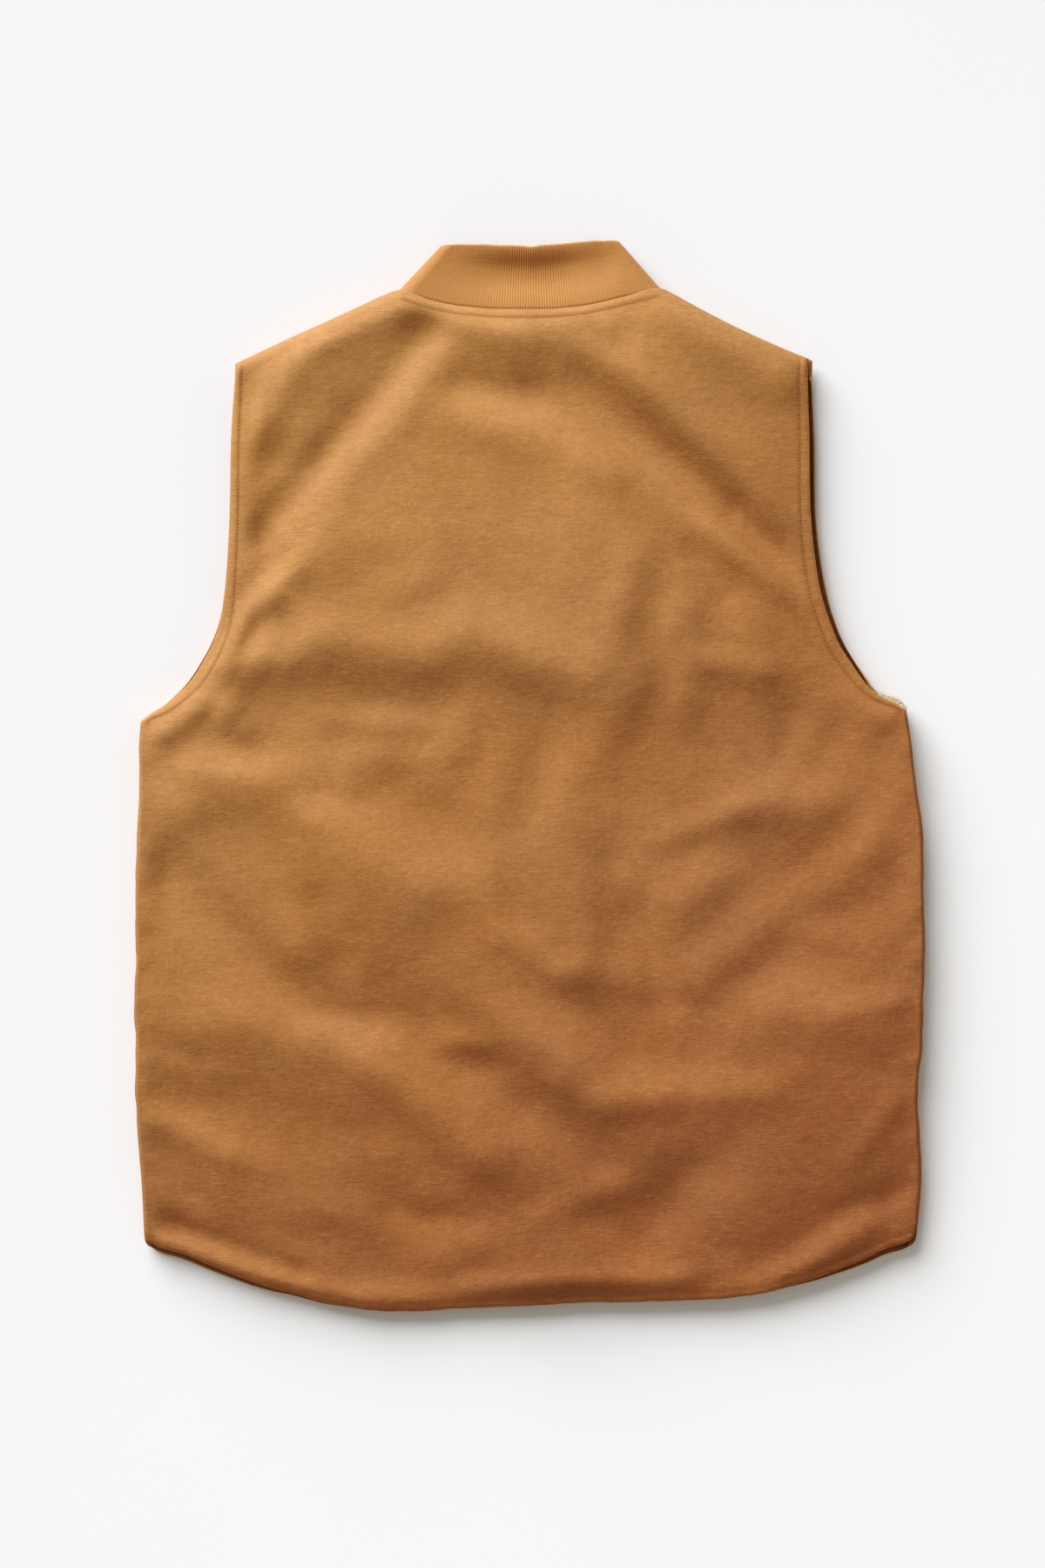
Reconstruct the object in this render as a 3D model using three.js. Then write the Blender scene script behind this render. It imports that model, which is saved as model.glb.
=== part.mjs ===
// Padded canvas work vest with a rib-knit mock neck, zipped up and lying face
// down on a flat surface. Millimetres. +X is the right of the picture, +Y runs
// from the hem to the collar, +Z is up, away from the surface. The origin is
// on the surface, under the middle of the vest.
import * as THREE from 'three';

// ---------------------------------------------------------------- dimensions
const CENTRE_Y = -0.3;        // middle of the length, hem to collar rim
const WALL = 4.0;             // canvas, padding and inner cloth together
const KNIT = 3.6;             // doubled rib knit
const SEAM_Z = 11;            // height of the side and shoulder seams
const SEAM_GAP = 0.3;         // between the two seam faces
const NECK_GAP = 1.0;         // between the collar and the panels round it
const ROLL = 12;              // how far a seam edge rolls over
const LIP = 8;                // how far a free edge (armhole, hem) rounds off
const EDGE_TOP = 15.2;        // top of the back panel at its free edges
const CROWN_TOP = 26;         // top of the back panel where it is fullest
const LIFT_RUN = 55;          // the armhole opens up over this length
const SLIT = 5.5;             // half width of the zip opening
const RIM_LOW = 0.4;          // lowest point of the collar
const SEAM_HIGH = 21.6;       // top of the collar at the back neck seam
const RIM_HIGH = 18;          // top of the collar at its rim
const SAG = 2.0;              // the back of the collar sags in the middle
const TAPE = { half: 14, low: 4.35, high: 5.45 };   // zip tape

// Side edges of the body, hem corner to underarm.
const SIDE = [
  { y: -340.5, left: -276.3, right: 276.9 },
  { y: -318, left: -277.5, right: 279.4 },
  { y: -287, left: -278.8, right: 281.3 },
  { y: -256, left: -281.3, right: 280.0 },
  { y: -224, left: -283.1, right: 278.8 },
  { y: -193, left: -282.5, right: 281.9 },
  { y: -162, left: -283.8, right: 282.5 },
  { y: -131, left: -282.5, right: 283.8 },
  { y: -84, left: -283.2, right: 283.1 },
  { y: -37, left: -281.3, right: 281.9 },
  { y: -6, left: -280.0, right: 277.5 },
  { y: 19, left: -280.6, right: 275.0 },
];
const UNDERARM = { left: [-279.1, 39.4], right: [270.6, 47.5] };

// Armhole edges, underarm to shoulder tip: the front panels reach a little
// further out than the back panel, so a sliver of them shows past its edge.
const ARM_LEFT = [
  { y: 44.4, front: -273.1, back: -271.8 },
  { y: 50.6, front: -263.1, back: -260.8 },
  { y: 56.9, front: -256.3, back: -253.6 },
  { y: 69.4, front: -245.0, back: -242.2 },
  { y: 81.9, front: -236.9, back: -234.4 },
  { y: 94.4, front: -230.0, back: -227.8 },
  { y: 106.9, front: -225.0, back: -223.1 },
  { y: 131.9, front: -219.4, back: -218.8 },
  { y: 181.9, front: -215.6, back: -215.4 },
  { y: 244.4, front: -214.2, back: -214.0 },
  { y: 281.9, front: -212.0, back: -211.8 },
];
const ARM_RIGHT = [
  { y: 53.1, front: 262.5, back: 261.2 },
  { y: 56.9, front: 255.0, back: 252.6 },
  { y: 63.1, front: 247.5, back: 244.6 },
  { y: 69.4, front: 243.1, back: 239.1 },
  { y: 81.9, front: 234.4, back: 230.3 },
  { y: 94.4, front: 226.9, back: 222.4 },
  { y: 106.9, front: 221.3, back: 217.2 },
  { y: 131.9, front: 213.8, back: 209.2 },
  { y: 181.9, front: 206.4, back: 202.4 },
  { y: 244.4, front: 205.0, back: 201.0 },
  { y: 281.9, front: 203.2, back: 199.8 },
];
const TIP = { left: { front: [-211.4, 296.0], back: [-211.3, 296.2] },
              right: { front: [203.3, 298.6], back: [200.2, 300.0] } };

// Shoulder edges, tip to neck.
const SHOULDER_LEFT = [
  { x: -192.5, y: 305.2 }, { x: -167.5, y: 316.8 }, { x: -142.5, y: 328.0 },
  { x: -117.5, y: 339.6 }, { x: -105.0, y: 345.3 },
];
const SHOULDER_RIGHT = [
  { x: 182.5, y: 307.2 }, { x: 157.5, y: 318.3 }, { x: 132.5, y: 330.6 },
  { x: 113.8, y: 340.6 }, { x: 103.0, y: 346.6 },
];
const NECK_POINT = { left: [-94.4, 348.8], right: [95.0, 350.0] };

// Back neck seam between the two neck points.
const NECK_BACK = [
  { x: -70.6, y: 340.8 }, { x: -47.5, y: 336.4 }, { x: -18.8, y: 334.4 },
  { x: 10.0, y: 334.4 }, { x: 38.8, y: 336.9 }, { x: 66.9, y: 343.1 },
];
// Front neck seam, middle to neck point, the same on both sides.
const NECK_FRONT = [
  { x: 5.5, y: 247 }, { x: 30, y: 254.5 }, { x: 52, y: 272 },
  { x: 70, y: 296 }, { x: 84, y: 323 }, { x: 95, y: 349.5 },
];
// Rim of the collar: its back edge and its front edge, which droops.
const RIM_BACK = [
  { x: -63.1, y: 381.2 }, { x: -40, y: 381.0 }, { x: 0, y: 380.7 },
  { x: 38.8, y: 383.0 }, { x: 64.0, y: 384.6 },
];
const RIM_FRONT = [
  { x: 5.5, y: 303 }, { x: 22, y: 308 }, { x: 38, y: 322 },
  { x: 51, y: 343 }, { x: 59, y: 363 }, { x: 64, y: 383 },
];

// Hem, left corner to right corner: the edge of the front panels, and how far
// short of it the back panel's own hem stops.
const HEM = [
  { x: -262, y: -345.0, short: 5.0 },
  { x: -246, y: -349.5, short: 5.2 },
  { x: -230, y: -356.4, short: 5.0 },
  { x: -211, y: -363.4, short: 4.6 },
  { x: -192, y: -369.6, short: 3.8 },
  { x: -167, y: -375.4, short: 3.0 },
  { x: -142, y: -381.0, short: 2.2 },
  { x: -105, y: -385.5, short: 1.4 },
  { x: -55, y: -383.8, short: 1.2 },
  { x: 20, y: -380.0, short: 1.2 },
  { x: 95, y: -377.6, short: 1.2 },
  { x: 145, y: -375.4, short: 1.2 },
  { x: 170, y: -372.4, short: 1.4 },
  { x: 195, y: -366.6, short: 1.8 },
  { x: 220, y: -359.6, short: 2.4 },
  { x: 245, y: -350.4, short: 3.4 },
  { x: 258, y: -344.6, short: 4.0 },
];
const HEM_CORNER = { left: [-276.3, -340.5], right: [276.9, -339.4] };

// Folds of the back panel: each is a ridge (or a hollow, when high is
// negative) along the line x0,y0 to x1,y1, with its half width.
const FOLDS = [
  { x0: -32, y0: 323, x1: 9, y1: 297, wide: 16, high: 5.5 },
  { x0: 115, y0: 318, x1: 185, y1: 283, wide: 13, high: 2.0 },
  { x0: -45, y0: 278, x1: -2, y1: 272, wide: 11, high: -3.0 },
  { x0: -201, y0: 244, x1: -160, y1: 296, wide: 13, high: 2.6 },
  { x0: -56, y0: 270, x1: -21, y1: 246, wide: 19, high: 3.1 },
  { x0: -184, y0: 182, x1: -86, y1: 305, wide: 10, high: -2.6 },
  { x0: 65, y0: 309, x1: 178, y1: 174, wide: 16, high: 5.6 },
  { x0: 22, y0: 290, x1: 176, y1: 167, wide: 12, high: -6.3 },
  { x0: -114, y0: 169, x1: -90, y1: 145, wide: 20, high: 2.3 },
  { x0: 34, y0: 173, x1: 63, y1: 77, wide: 22, high: 4.4 },
  { x0: -51, y0: 95, x1: 24, y1: 79, wide: 18, high: 3.8 },
  { x0: -195, y0: 82, x1: -174, y1: 84, wide: 12, high: 3.5 },
  { x0: 106, y0: 104, x1: 113, y1: 59, wide: 11, high: 2.4 },
  { x0: -120, y0: 53, x1: -83, y1: 51, wide: 13, high: -3.0 },
  { x0: 194, y0: 36, x1: 205, y1: 22, wide: 21, high: -3.5 },
  { x0: -234, y0: 2, x1: -197, y1: 1, wide: 11, high: 2.7 },
  { x0: 150, y0: -25, x1: 188, y1: -18, wide: 14, high: 2.6 },
  { x0: -68, y0: -32, x1: -64, y1: -39, wide: 26, high: -4.0 },
  { x0: -179, y0: -21, x1: -75, y1: -74, wide: 16, high: 2.6 },
  { x0: -109, y0: -78, x1: -95, y1: -87, wide: 26, high: 4.1 },
  { x0: -247, y0: -73, x1: -170, y1: -160, wide: 13, high: -4.1 },
  { x0: 68, y0: -110, x1: 90, y1: -159, wide: 11, high: -2.5 },
  { x0: -33, y0: -146, x1: 107, y1: -199, wide: 17, high: -2.3 },
  { x0: 188, y0: -174, x1: 230, y1: -174, wide: 17, high: 3.4 },
  { x0: -39, y0: -147, x1: 18, y1: -204, wide: 14, high: 4.8 },
  { x0: -215, y0: -174, x1: -190, y1: -185, wide: 18, high: 3.4 },
  { x0: -105, y0: -171, x1: -43, y1: -203, wide: 16, high: -3.5 },
  { x0: 144, y0: -227, x1: 202, y1: -217, wide: 15, high: 2.1 },
  { x0: -108, y0: -209, x1: -38, y1: -271, wide: 16, high: 5.1 },
  { x0: -1, y0: -238, x1: 51, y1: -273, wide: 12, high: -2.5 },
  { x0: 89, y0: -315, x1: 114, y1: -290, wide: 17, high: -3.3 },
  { x0: 61, y0: -324, x1: 77, y1: -334, wide: 19, high: -2.7 },
  { x0: -246, y0: -323, x1: -91, y1: -340, wide: 11, high: -1.6 },
  { x0: -70, y0: -350, x1: 67, y1: -337, wide: 16, high: 1.9 },
  { x0: -116, y0: -356, x1: -33, y1: -358, wide: 11, high: -2.0 },
  { x0: -33, y0: -364, x1: 99, y1: -360, wide: 10, high: 1.9 },
];

// ------------------------------------------------------------------- helpers
const lerp = (a, b, t) => a + (b - a) * t;
const clamp = (v, lo, hi) => Math.min(hi, Math.max(lo, v));
const ease = (v) => { const t = clamp(v, 0, 1); return t * t * (3 - 2 * t); };
const sinDeg = (a) => Math.sin(a * Math.PI / 180);
const cosDeg = (a) => Math.cos(a * Math.PI / 180);

// y over x through the rows of a table, without overshoot.
function graph(rows, xKey, yKey) {
  const p = rows.map((r) => [r[xKey], r[yKey]]).sort((a, b) => a[0] - b[0]);
  const n = p.length, d = [], m = [];
  for (let i = 0; i < n - 1; i++) d.push((p[i + 1][1] - p[i][1]) / (p[i + 1][0] - p[i][0]));
  for (let i = 0; i < n; i++) {
    if (i === 0) m.push(d[0]);
    else if (i === n - 1) m.push(d[n - 2]);
    else m.push(d[i - 1] * d[i] <= 0 ? 0 : 2 * d[i - 1] * d[i] / (d[i - 1] + d[i]));
  }
  return (x) => {
    if (x <= p[0][0]) return p[0][1];
    if (x >= p[n - 1][0]) return p[n - 1][1];
    let i = 0;
    while (x > p[i + 1][0]) i++;
    const h = p[i + 1][0] - p[i][0], t = (x - p[i][0]) / h, t2 = t * t, t3 = t2 * t;
    return (2 * t3 - 3 * t2 + 1) * p[i][1] + (t3 - 2 * t2 + t) * h * m[i]
      + (3 * t2 - 2 * t3) * p[i + 1][1] + (t3 - t2) * h * m[i + 1];
  };
}
// A plan curve through points, read at a fraction of its length.
function path(points) {
  const c = new THREE.CatmullRomCurve3(points.map((q) => new THREE.Vector3(q[0], q[1], 0)), false, 'centripetal');
  c.arcLengthDivisions = 600;
  return (t) => { const v = c.getPointAt(clamp(t, 0, 1)); return [v.x, v.y]; };
}
// Height above and below a fold line.
function foldHeight(x, y) {
  let z = 0;
  for (const f of FOLDS) {
    const dx = f.x1 - f.x0, dy = f.y1 - f.y0, len2 = dx * dx + dy * dy;
    const t = ((x - f.x0) * dx + (y - f.y0) * dy) / len2;
    const over = t < 0 ? -t : t > 1 ? t - 1 : 0;
    const px = x - (f.x0 + t * dx), py = y - (f.y0 + t * dy);
    const along = over * Math.sqrt(len2);
    const q = (px * px + py * py) / (f.wide * f.wide) + (along * along) / (2.2 * f.wide * f.wide);
    z += f.high * Math.exp(-0.5 * q);
  }
  return z;
}
// A closed mesh from triangles over a shared vertex list.
function solid(name, points, triangles, look) {
  const g = new THREE.BufferGeometry();
  g.setAttribute('position', new THREE.BufferAttribute(new Float32Array(points.flat()), 3));
  g.setIndex(triangles.flat());
  g.computeVertexNormals();
  const mesh = new THREE.Mesh(g, new THREE.MeshStandardMaterial(look));
  mesh.name = name;
  return mesh;
}
// A wall between two grids of points with the same rows and columns.
function wall(name, outer, inner, look) {
  const rows = outer.length, cols = outer[0].length;
  const pts = [...outer.flat(), ...inner.flat()], tris = [], off = rows * cols;
  const at = (j, k) => j * cols + k;
  const short = (a, b, c, d) => {            // splits a quad at its shorter diagonal
    const gap = (i, j) => Math.hypot(pts[i][0] - pts[j][0], pts[i][1] - pts[j][1], pts[i][2] - pts[j][2]);
    return gap(a, c) <= gap(b, d) ? [[a, b, c], [a, c, d]] : [[a, b, d], [b, c, d]];
  };
  for (let j = 0; j < rows - 1; j++) {
    for (let k = 0; k < cols - 1; k++) {
      const q = [at(j, k), at(j, k + 1), at(j + 1, k + 1), at(j + 1, k)];
      tris.push(...short(...q));
      tris.push(...short(...q.map((i) => i + off)).map((t) => [t[0], t[2], t[1]]));
    }
  }
  const rim = [];
  for (let k = 0; k < cols - 1; k++) rim.push(at(0, k));
  for (let j = 0; j < rows - 1; j++) rim.push(at(j, cols - 1));
  for (let k = cols - 1; k > 0; k--) rim.push(at(rows - 1, k));
  for (let j = rows - 1; j > 0; j--) rim.push(at(j, 0));
  rim.forEach((a, i) => {
    const b = rim[(i + 1) % rim.length];
    tris.push([b, a, a + off], [b, a + off, b + off]);
  });
  return solid(name, pts, tris, look);
}

// ----------------------------------------------------- outline of the panels
const pair = (rows, key) => rows.map((r) => [r[key], r.y]);
function sideCurve(hand, hem) {
  return path([hem, ...pair(SIDE, hand).slice(1), UNDERARM[hand]]);
}
function armCurve(hand, layer) {
  const rows = hand === 'left' ? ARM_LEFT : ARM_RIGHT;
  return path([UNDERARM[hand], ...pair(rows, layer), TIP[hand][layer]]);
}
const hemShort = graph(HEM, 'x', 'short');
const hemRow = (r, layer) => [r.x, r.y + (layer === 'back' ? r.short : 0)];
const hemEnd = (hand, layer) => {
  const c = HEM_CORNER[hand];
  return [c[0], c[1] + (layer === 'back' ? hemShort(c[0]) : 0)];
};
const hemLine = graph([{ x: HEM_CORNER.left[0], y: HEM_CORNER.left[1] }, ...HEM,
  { x: HEM_CORNER.right[0], y: HEM_CORNER.right[1] }], 'x', 'y');
const spot = (q) => ({ x: q[0], y: q[1] });
const topRows = [spot(TIP.left.back), ...SHOULDER_LEFT, spot(NECK_POINT.left), ...NECK_BACK,
  spot(NECK_POINT.right), ...SHOULDER_RIGHT.slice().reverse(), spot(TIP.right.back)];
const topLine = graph(topRows, 'x', 'y');
const neckBack = graph([spot(NECK_POINT.left), ...NECK_BACK, spot(NECK_POINT.right)], 'x', 'y');
const neckFront = graph(NECK_FRONT, 'x', 'y');
const rimBack = graph(RIM_BACK, 'x', 'y');
const rimFront = graph(RIM_FRONT, 'x', 'y');
const edgeLeft = graph([...SIDE.map((r) => ({ y: r.y, x: r.left })), { y: UNDERARM.left[1], x: UNDERARM.left[0] },
  ...ARM_LEFT.map((r) => ({ y: r.y, x: r.back })), { y: TIP.left.back[1], x: TIP.left.back[0] }], 'y', 'x');
const edgeRight = graph([...SIDE.map((r) => ({ y: r.y, x: r.right })), { y: UNDERARM.right[1], x: UNDERARM.right[0] },
  ...ARM_RIGHT.map((r) => ({ y: r.y, x: r.back })), { y: TIP.right.back[1], x: TIP.right.back[0] }], 'y', 'x');

// Top surface of the back panel before its edges roll over.
function crown(x, y) {
  const aside = Math.min(x - edgeLeft(y), edgeRight(y) - x);
  const body = 1 - ease((y - 10) / 80);                      // below the armholes
  const firm = lerp(0.12, 0.62, Math.max(body, ease((y - 262) / 36)));
  const across = firm + (1 - firm) * ease((aside + 6) / 90);
  const fromHem = ease((y - hemLine(x)) / 125);
  const fromTop = 0.62 + 0.38 * ease((topLine(x) - y) / 70);
  const quiet = ease(aside / 34) * ease((y - hemLine(x)) / 30) * ease((topLine(x) - y) / 26);
  return EDGE_TOP + (CROWN_TOP - EDGE_TOP) * across * fromHem * fromTop + foldHeight(x, y) * quiet;
}

// ---------------------------------------------------------- panel grids
const ROLL_ANGLES = [0, 32, 62, 90];        // from the edge to the flat part
const inset = (reach, angle) => reach * (1 - cosDeg(angle));

// Grid lines along one direction: some at both ends that follow the rounding
// of the edge, and even ones between them.
function stations(startAngles, middle, endAngles, startReach, endReach) {
  const list = [];
  for (const a of startAngles) list.push({ from: 'start', in: inset(startReach, a), angle: a });
  for (let i = 1; i < middle; i++) list.push({ from: 'middle', part: i / middle, angle: 90 });
  for (const a of endAngles.slice().reverse()) list.push({ from: 'end', in: inset(endReach, a), angle: a });
  return list.map((s) => ({ ...s, startReach, endReach }));
}
function place(s, length) {
  if (s.from === 'start') return s.in / length;
  if (s.from === 'end') return 1 - s.in / length;
  return lerp(s.startReach / length, 1 - s.endReach / length, s.part);
}
const span = (a, b) => Math.hypot(a[0] - b[0], a[1] - b[1]);

// The share of an edge at which one of the even grid lines meets it.
const evenLine = (part, length, startReach, endReach) => lerp(startReach / length, 1 - endReach / length, part);

// A point of a four-sided patch between its boundary curves.
function patch(low, high, start, end, s, t) {
  const l = low(s), h = high(s), a = start(t), b = end(t);
  const c00 = low(0), c10 = low(1), c01 = high(0), c11 = high(1);
  return [0, 1].map((i) => (1 - t) * l[i] + t * h[i] + (1 - s) * a[i] + s * b[i]
    - ((1 - s) * (1 - t) * c00[i] + s * (1 - t) * c10[i] + (1 - s) * t * c01[i] + s * t * c11[i]));
}

// Builds one panel. shape: hem, top, start and end curves for the body part
// and the armhole part. edge: what the wall does at each edge. height gives
// the outer and inner surfaces before the edges round off.
function panel(name, shape, cols, rows, edge, height, look) {
  const middle = (s) => [lerp(shape.lowStart(1)[0], shape.lowEnd(1)[0], s), lerp(shape.lowStart(1)[1], shape.lowEnd(1)[1], s)];
  const outer = [], inner = [];
  for (const r of rows) {
    const up = r.part === 'upper';
    const [low, high] = up ? [middle, shape.top] : [shape.hem, middle];
    const [a, b] = up ? [shape.highStart, shape.highEnd] : [shape.lowStart, shape.lowEnd];
    const outRow = [], inRow = [];
    for (const c of cols) {
      let s = c.from === 'start' ? 0 : c.from === 'end' ? 1 : c.part, t = 0.5;
      for (let i = 0; i < 3; i++) {
        t = place(r.station, span(low(s), high(s)));
        if (up && r.station.from === 'start') t = 0;
        s = place(c, span(a(t), b(t)));
      }
      const p = patch(low, high, a, b, s, t);
      const z = height(p[0], p[1]);
      const at = { s, t, up, p };
      const e = [];
      if (c.from === 'start') e.push([edge.start(at), c.angle]);
      if (c.from === 'end') e.push([edge.end(at), c.angle]);
      if (!up && r.station.from === 'start') e.push([edge.hem(at), r.station.angle]);
      if (up && r.station.from === 'end') e.push([edge.top(at), r.station.angle]);
      let zo = z[0], zi = z[1], x = p[0], y = p[1];
      const near = e.filter((q) => q[1] < 89.9);
      if (near.length) {
        let sum = 0, keep = 1, dropO = 0, dropI = 0;
        for (const [q, angle] of near) {
          const g = 1 - sinDeg(angle);
          sum += g; keep *= 1 - g;
          dropO += g * (q.outer - z[0]); dropI += g * (q.inner - z[1]);
          x += q.push[0] * cosDeg(angle); y += q.push[1] * cosDeg(angle);
        }
        zo += dropO / sum * (1 - keep); zi += dropI / sum * (1 - keep);
      }
      outRow.push([p[0], p[1] - CENTRE_Y, zo]);
      inRow.push([x, y - CENTRE_Y, zi]);
    }
    outer.push(outRow); inner.push(inRow);
  }
  const turn = (g) => (name === 'front_panel_right' ? g.map((r) => r.slice().reverse()) : g);
  return wall(name, turn(outer), turn(inner), look);
}
function panelRows(lowCount, highCount) {
  const low = stations(ROLL_ANGLES, lowCount, [], LIP, 0);
  const high = stations([90], highCount, ROLL_ANGLES, 0, ROLL);
  return [...low.map((station) => ({ part: 'lower', station })), ...high.map((station) => ({ part: 'upper', station }))];
}

// How far the armhole edge has opened at a point: 0 at the underarm and the
// shoulder tip, 1 between them.
const LIP_IN = 0.5;                        // inner corner of a free edge
const opened = (p, corner, tip) => ease(span(p, corner) / LIFT_RUN) * ease(span(p, tip) / (0.8 * LIFT_RUN));
const PEEP = 1.6;                          // half gap where the inner cloth peeps out
const peep = (p, hand) => (hand === 'right' ? PEEP * (1 - ease((span(p, UNDERARM.right) - 6) / 14)) : 0);

// Along the front neck seam the wall follows the collar's round fold.
const foldRadius = (SEAM_HIGH - RIM_LOW) / 2;
const foldMid = (SEAM_HIGH + RIM_LOW) / 2;
function neckTurn(x) {
  const reach = Math.abs(x) - (95 - foldRadius);
  return clamp(reach / foldRadius, 0, 1);                 // cosine of the turn
}

const CANVAS = { color: 0xb07945, roughness: 0.9, metalness: 0 };

// ---------------------------------------------------------------- back panel
function backPanel() {
  const across = 25, tips = span(TIP.left.back, TIP.right.back);
  // Two of the even grid lines meet the neck points.
  const atNeck = [[0, TIP.left.back[0]], [evenLine(7 / across, tips, ROLL, ROLL), NECK_POINT.left[0]],
    [evenLine(19 / across, tips, ROLL, ROLL), NECK_POINT.right[0]], [1, TIP.right.back[0]]];
  const along = (s) => {
    const i = atNeck.findIndex((q, k) => k > 0 && s <= q[0] + 1e-9), a = atNeck[i - 1], b = atNeck[i];
    return lerp(a[1], b[1], (s - a[0]) / (b[0] - a[0]));
  };
  const shape = {
    hem: path([hemEnd('left', 'back'), ...HEM.map((r) => hemRow(r, 'back')), hemEnd('right', 'back')]),
    top: (s) => { const x = along(clamp(s, 0, 1)); return [x, topLine(x)]; },
    lowStart: sideCurve('left', hemEnd('left', 'back')), lowEnd: sideCurve('right', hemEnd('right', 'back')),
    highStart: armCurve('left', 'back'), highEnd: armCurve('right', 'back'),
  };
  const free = (z) => ({ outer: z[0] - 2.4, inner: z[1] + 0.3, push: [0, 0] });
  const seam = SEAM_Z + SEAM_GAP / 2;
  const height = (x, y) => { const z = crown(x, y); return [z, z - WALL]; };
  const sideEdge = (hand, sign) => (at) => {
    const z = height(...at.p), gap = peep(at.p, hand);
    const shut = { outer: seam + gap, inner: seam + gap, push: [sign * WALL, 0] };
    if (!at.up) return shut;
    const o = opened(at.p, UNDERARM[hand], TIP[hand].back), f = free(z);
    return { outer: lerp(shut.outer, f.outer, o), inner: lerp(shut.inner, f.inner, o), push: [sign * lerp(WALL, LIP_IN, o), 0] };
  };
  const edge = {
    start: sideEdge('left', 1), end: sideEdge('right', -1),
    hem: (at) => ({ ...free(height(...at.p)), push: [0, LIP_IN] }),
    top: (at) => {
      const x = at.p[0], hand = x < 0 ? 'left' : 'right', neck = NECK_POINT[hand][0];
      if (Math.abs(x) >= Math.abs(neck)) {
        const lean = ease((Math.abs(x) - Math.abs(neck)) / 12);
        return { outer: seam, inner: seam, push: [-Math.sign(x) * WALL * lerp(0.8, 0.42, lean), -WALL * lerp(0.5, 0.9, lean)] };
      }
      const c = neckTurn(x), up = Math.sqrt(1 - c * c), z = height(...at.p);
      return { outer: Math.max(seam, lerp(seam, z[0], up)), inner: Math.max(seam, lerp(seam, z[1], up)),
        push: [-Math.sign(x) * WALL * 0.8 * c, -LIP_IN - 1.5 * c] };
    },
  };
  return panel('back_panel', shape, stations(ROLL_ANGLES, across, ROLL_ANGLES, ROLL, ROLL), panelRows(18, 13), edge, height, CANVAS);
}

// -------------------------------------------------------------- front panels
function frontPanel(hand) {
  const sign = hand === 'left' ? -1 : 1;
  const slit = sign * SLIT;
  const hemRows = HEM.filter((r) => r.x * sign > 12).sort((a, b) => Math.abs(a.x) - Math.abs(b.x));
  const neck = NECK_FRONT.map((r) => [sign * r.x, r.y]);
  neck[neck.length - 1] = NECK_POINT[hand];
  const shoulder = (hand === 'left' ? SHOULDER_LEFT : SHOULDER_RIGHT).slice().reverse().map((r) => [r.x, r.y]);
  const neckPath = path(neck), shoulderPath = path([NECK_POINT[hand], ...shoulder, TIP[hand].front]);
  const across = 12, corner = evenLine(7 / across, span([slit, neck[0][1]], TIP[hand].front), 0, ROLL);
  const shape = {
    hem: path([[slit, hemLine(slit)], ...hemRows.map((r) => hemRow(r, 'front')), hemEnd(hand, 'front')]),
    top: (s) => (s <= corner ? neckPath(s / corner) : shoulderPath((s - corner) / (1 - corner))),
    lowStart: (t) => [slit, lerp(hemLine(slit), 60, t)], lowEnd: sideCurve(hand, hemEnd(hand, 'front')),
    highStart: (t) => [slit, lerp(60, NECK_FRONT[0].y, t)], highEnd: armCurve(hand, 'front'),
  };
  const seam = SEAM_Z - SEAM_GAP / 2;
  const height = () => [0, WALL];
  const free = { outer: 1.6, inner: WALL - 0.5 };
  const edge = {
    start: () => ({ outer: 0, inner: WALL, push: [0, 0] }),
    end: (at) => {
      const gap = peep(at.p, hand);
      const shut = { outer: seam - gap, inner: seam - gap };
      if (!at.up) return { ...shut, push: [-sign * WALL, 0] };
      const o = opened(at.p, UNDERARM[hand], TIP[hand].front);
      return { outer: lerp(shut.outer, free.outer, o), inner: lerp(shut.inner, free.inner, o), push: [-sign * lerp(WALL, LIP_IN, o), 0] };
    },
    hem: () => ({ ...free, push: [0, LIP_IN] }),
    top: (at) => {
      const x = at.p[0], point = NECK_POINT[hand];
      if (Math.abs(x) >= Math.abs(point[0])) {
        const lean = ease((Math.abs(x) - Math.abs(point[0])) / 12);
        return { outer: seam, inner: seam, push: [-sign * WALL * lerp(0.8, 0.42, lean), -WALL * lerp(0.5, 0.9, lean)] };
      }
      const c = neckTurn(x), down = 1 - Math.sqrt(1 - c * c);
      return { outer: lerp(0, seam, down), inner: Math.min(seam, lerp(WALL, seam, down)), push: [-sign * WALL * 0.8 * c, -LIP_IN - 1.5 * c] };
    },
  };
  return panel(`front_panel_${hand}`, shape, stations([90], across, ROLL_ANGLES, 0, ROLL), panelRows(10, 9), edge, height,
    { ...CANVAS, color: 0xa87040 });
}

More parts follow.
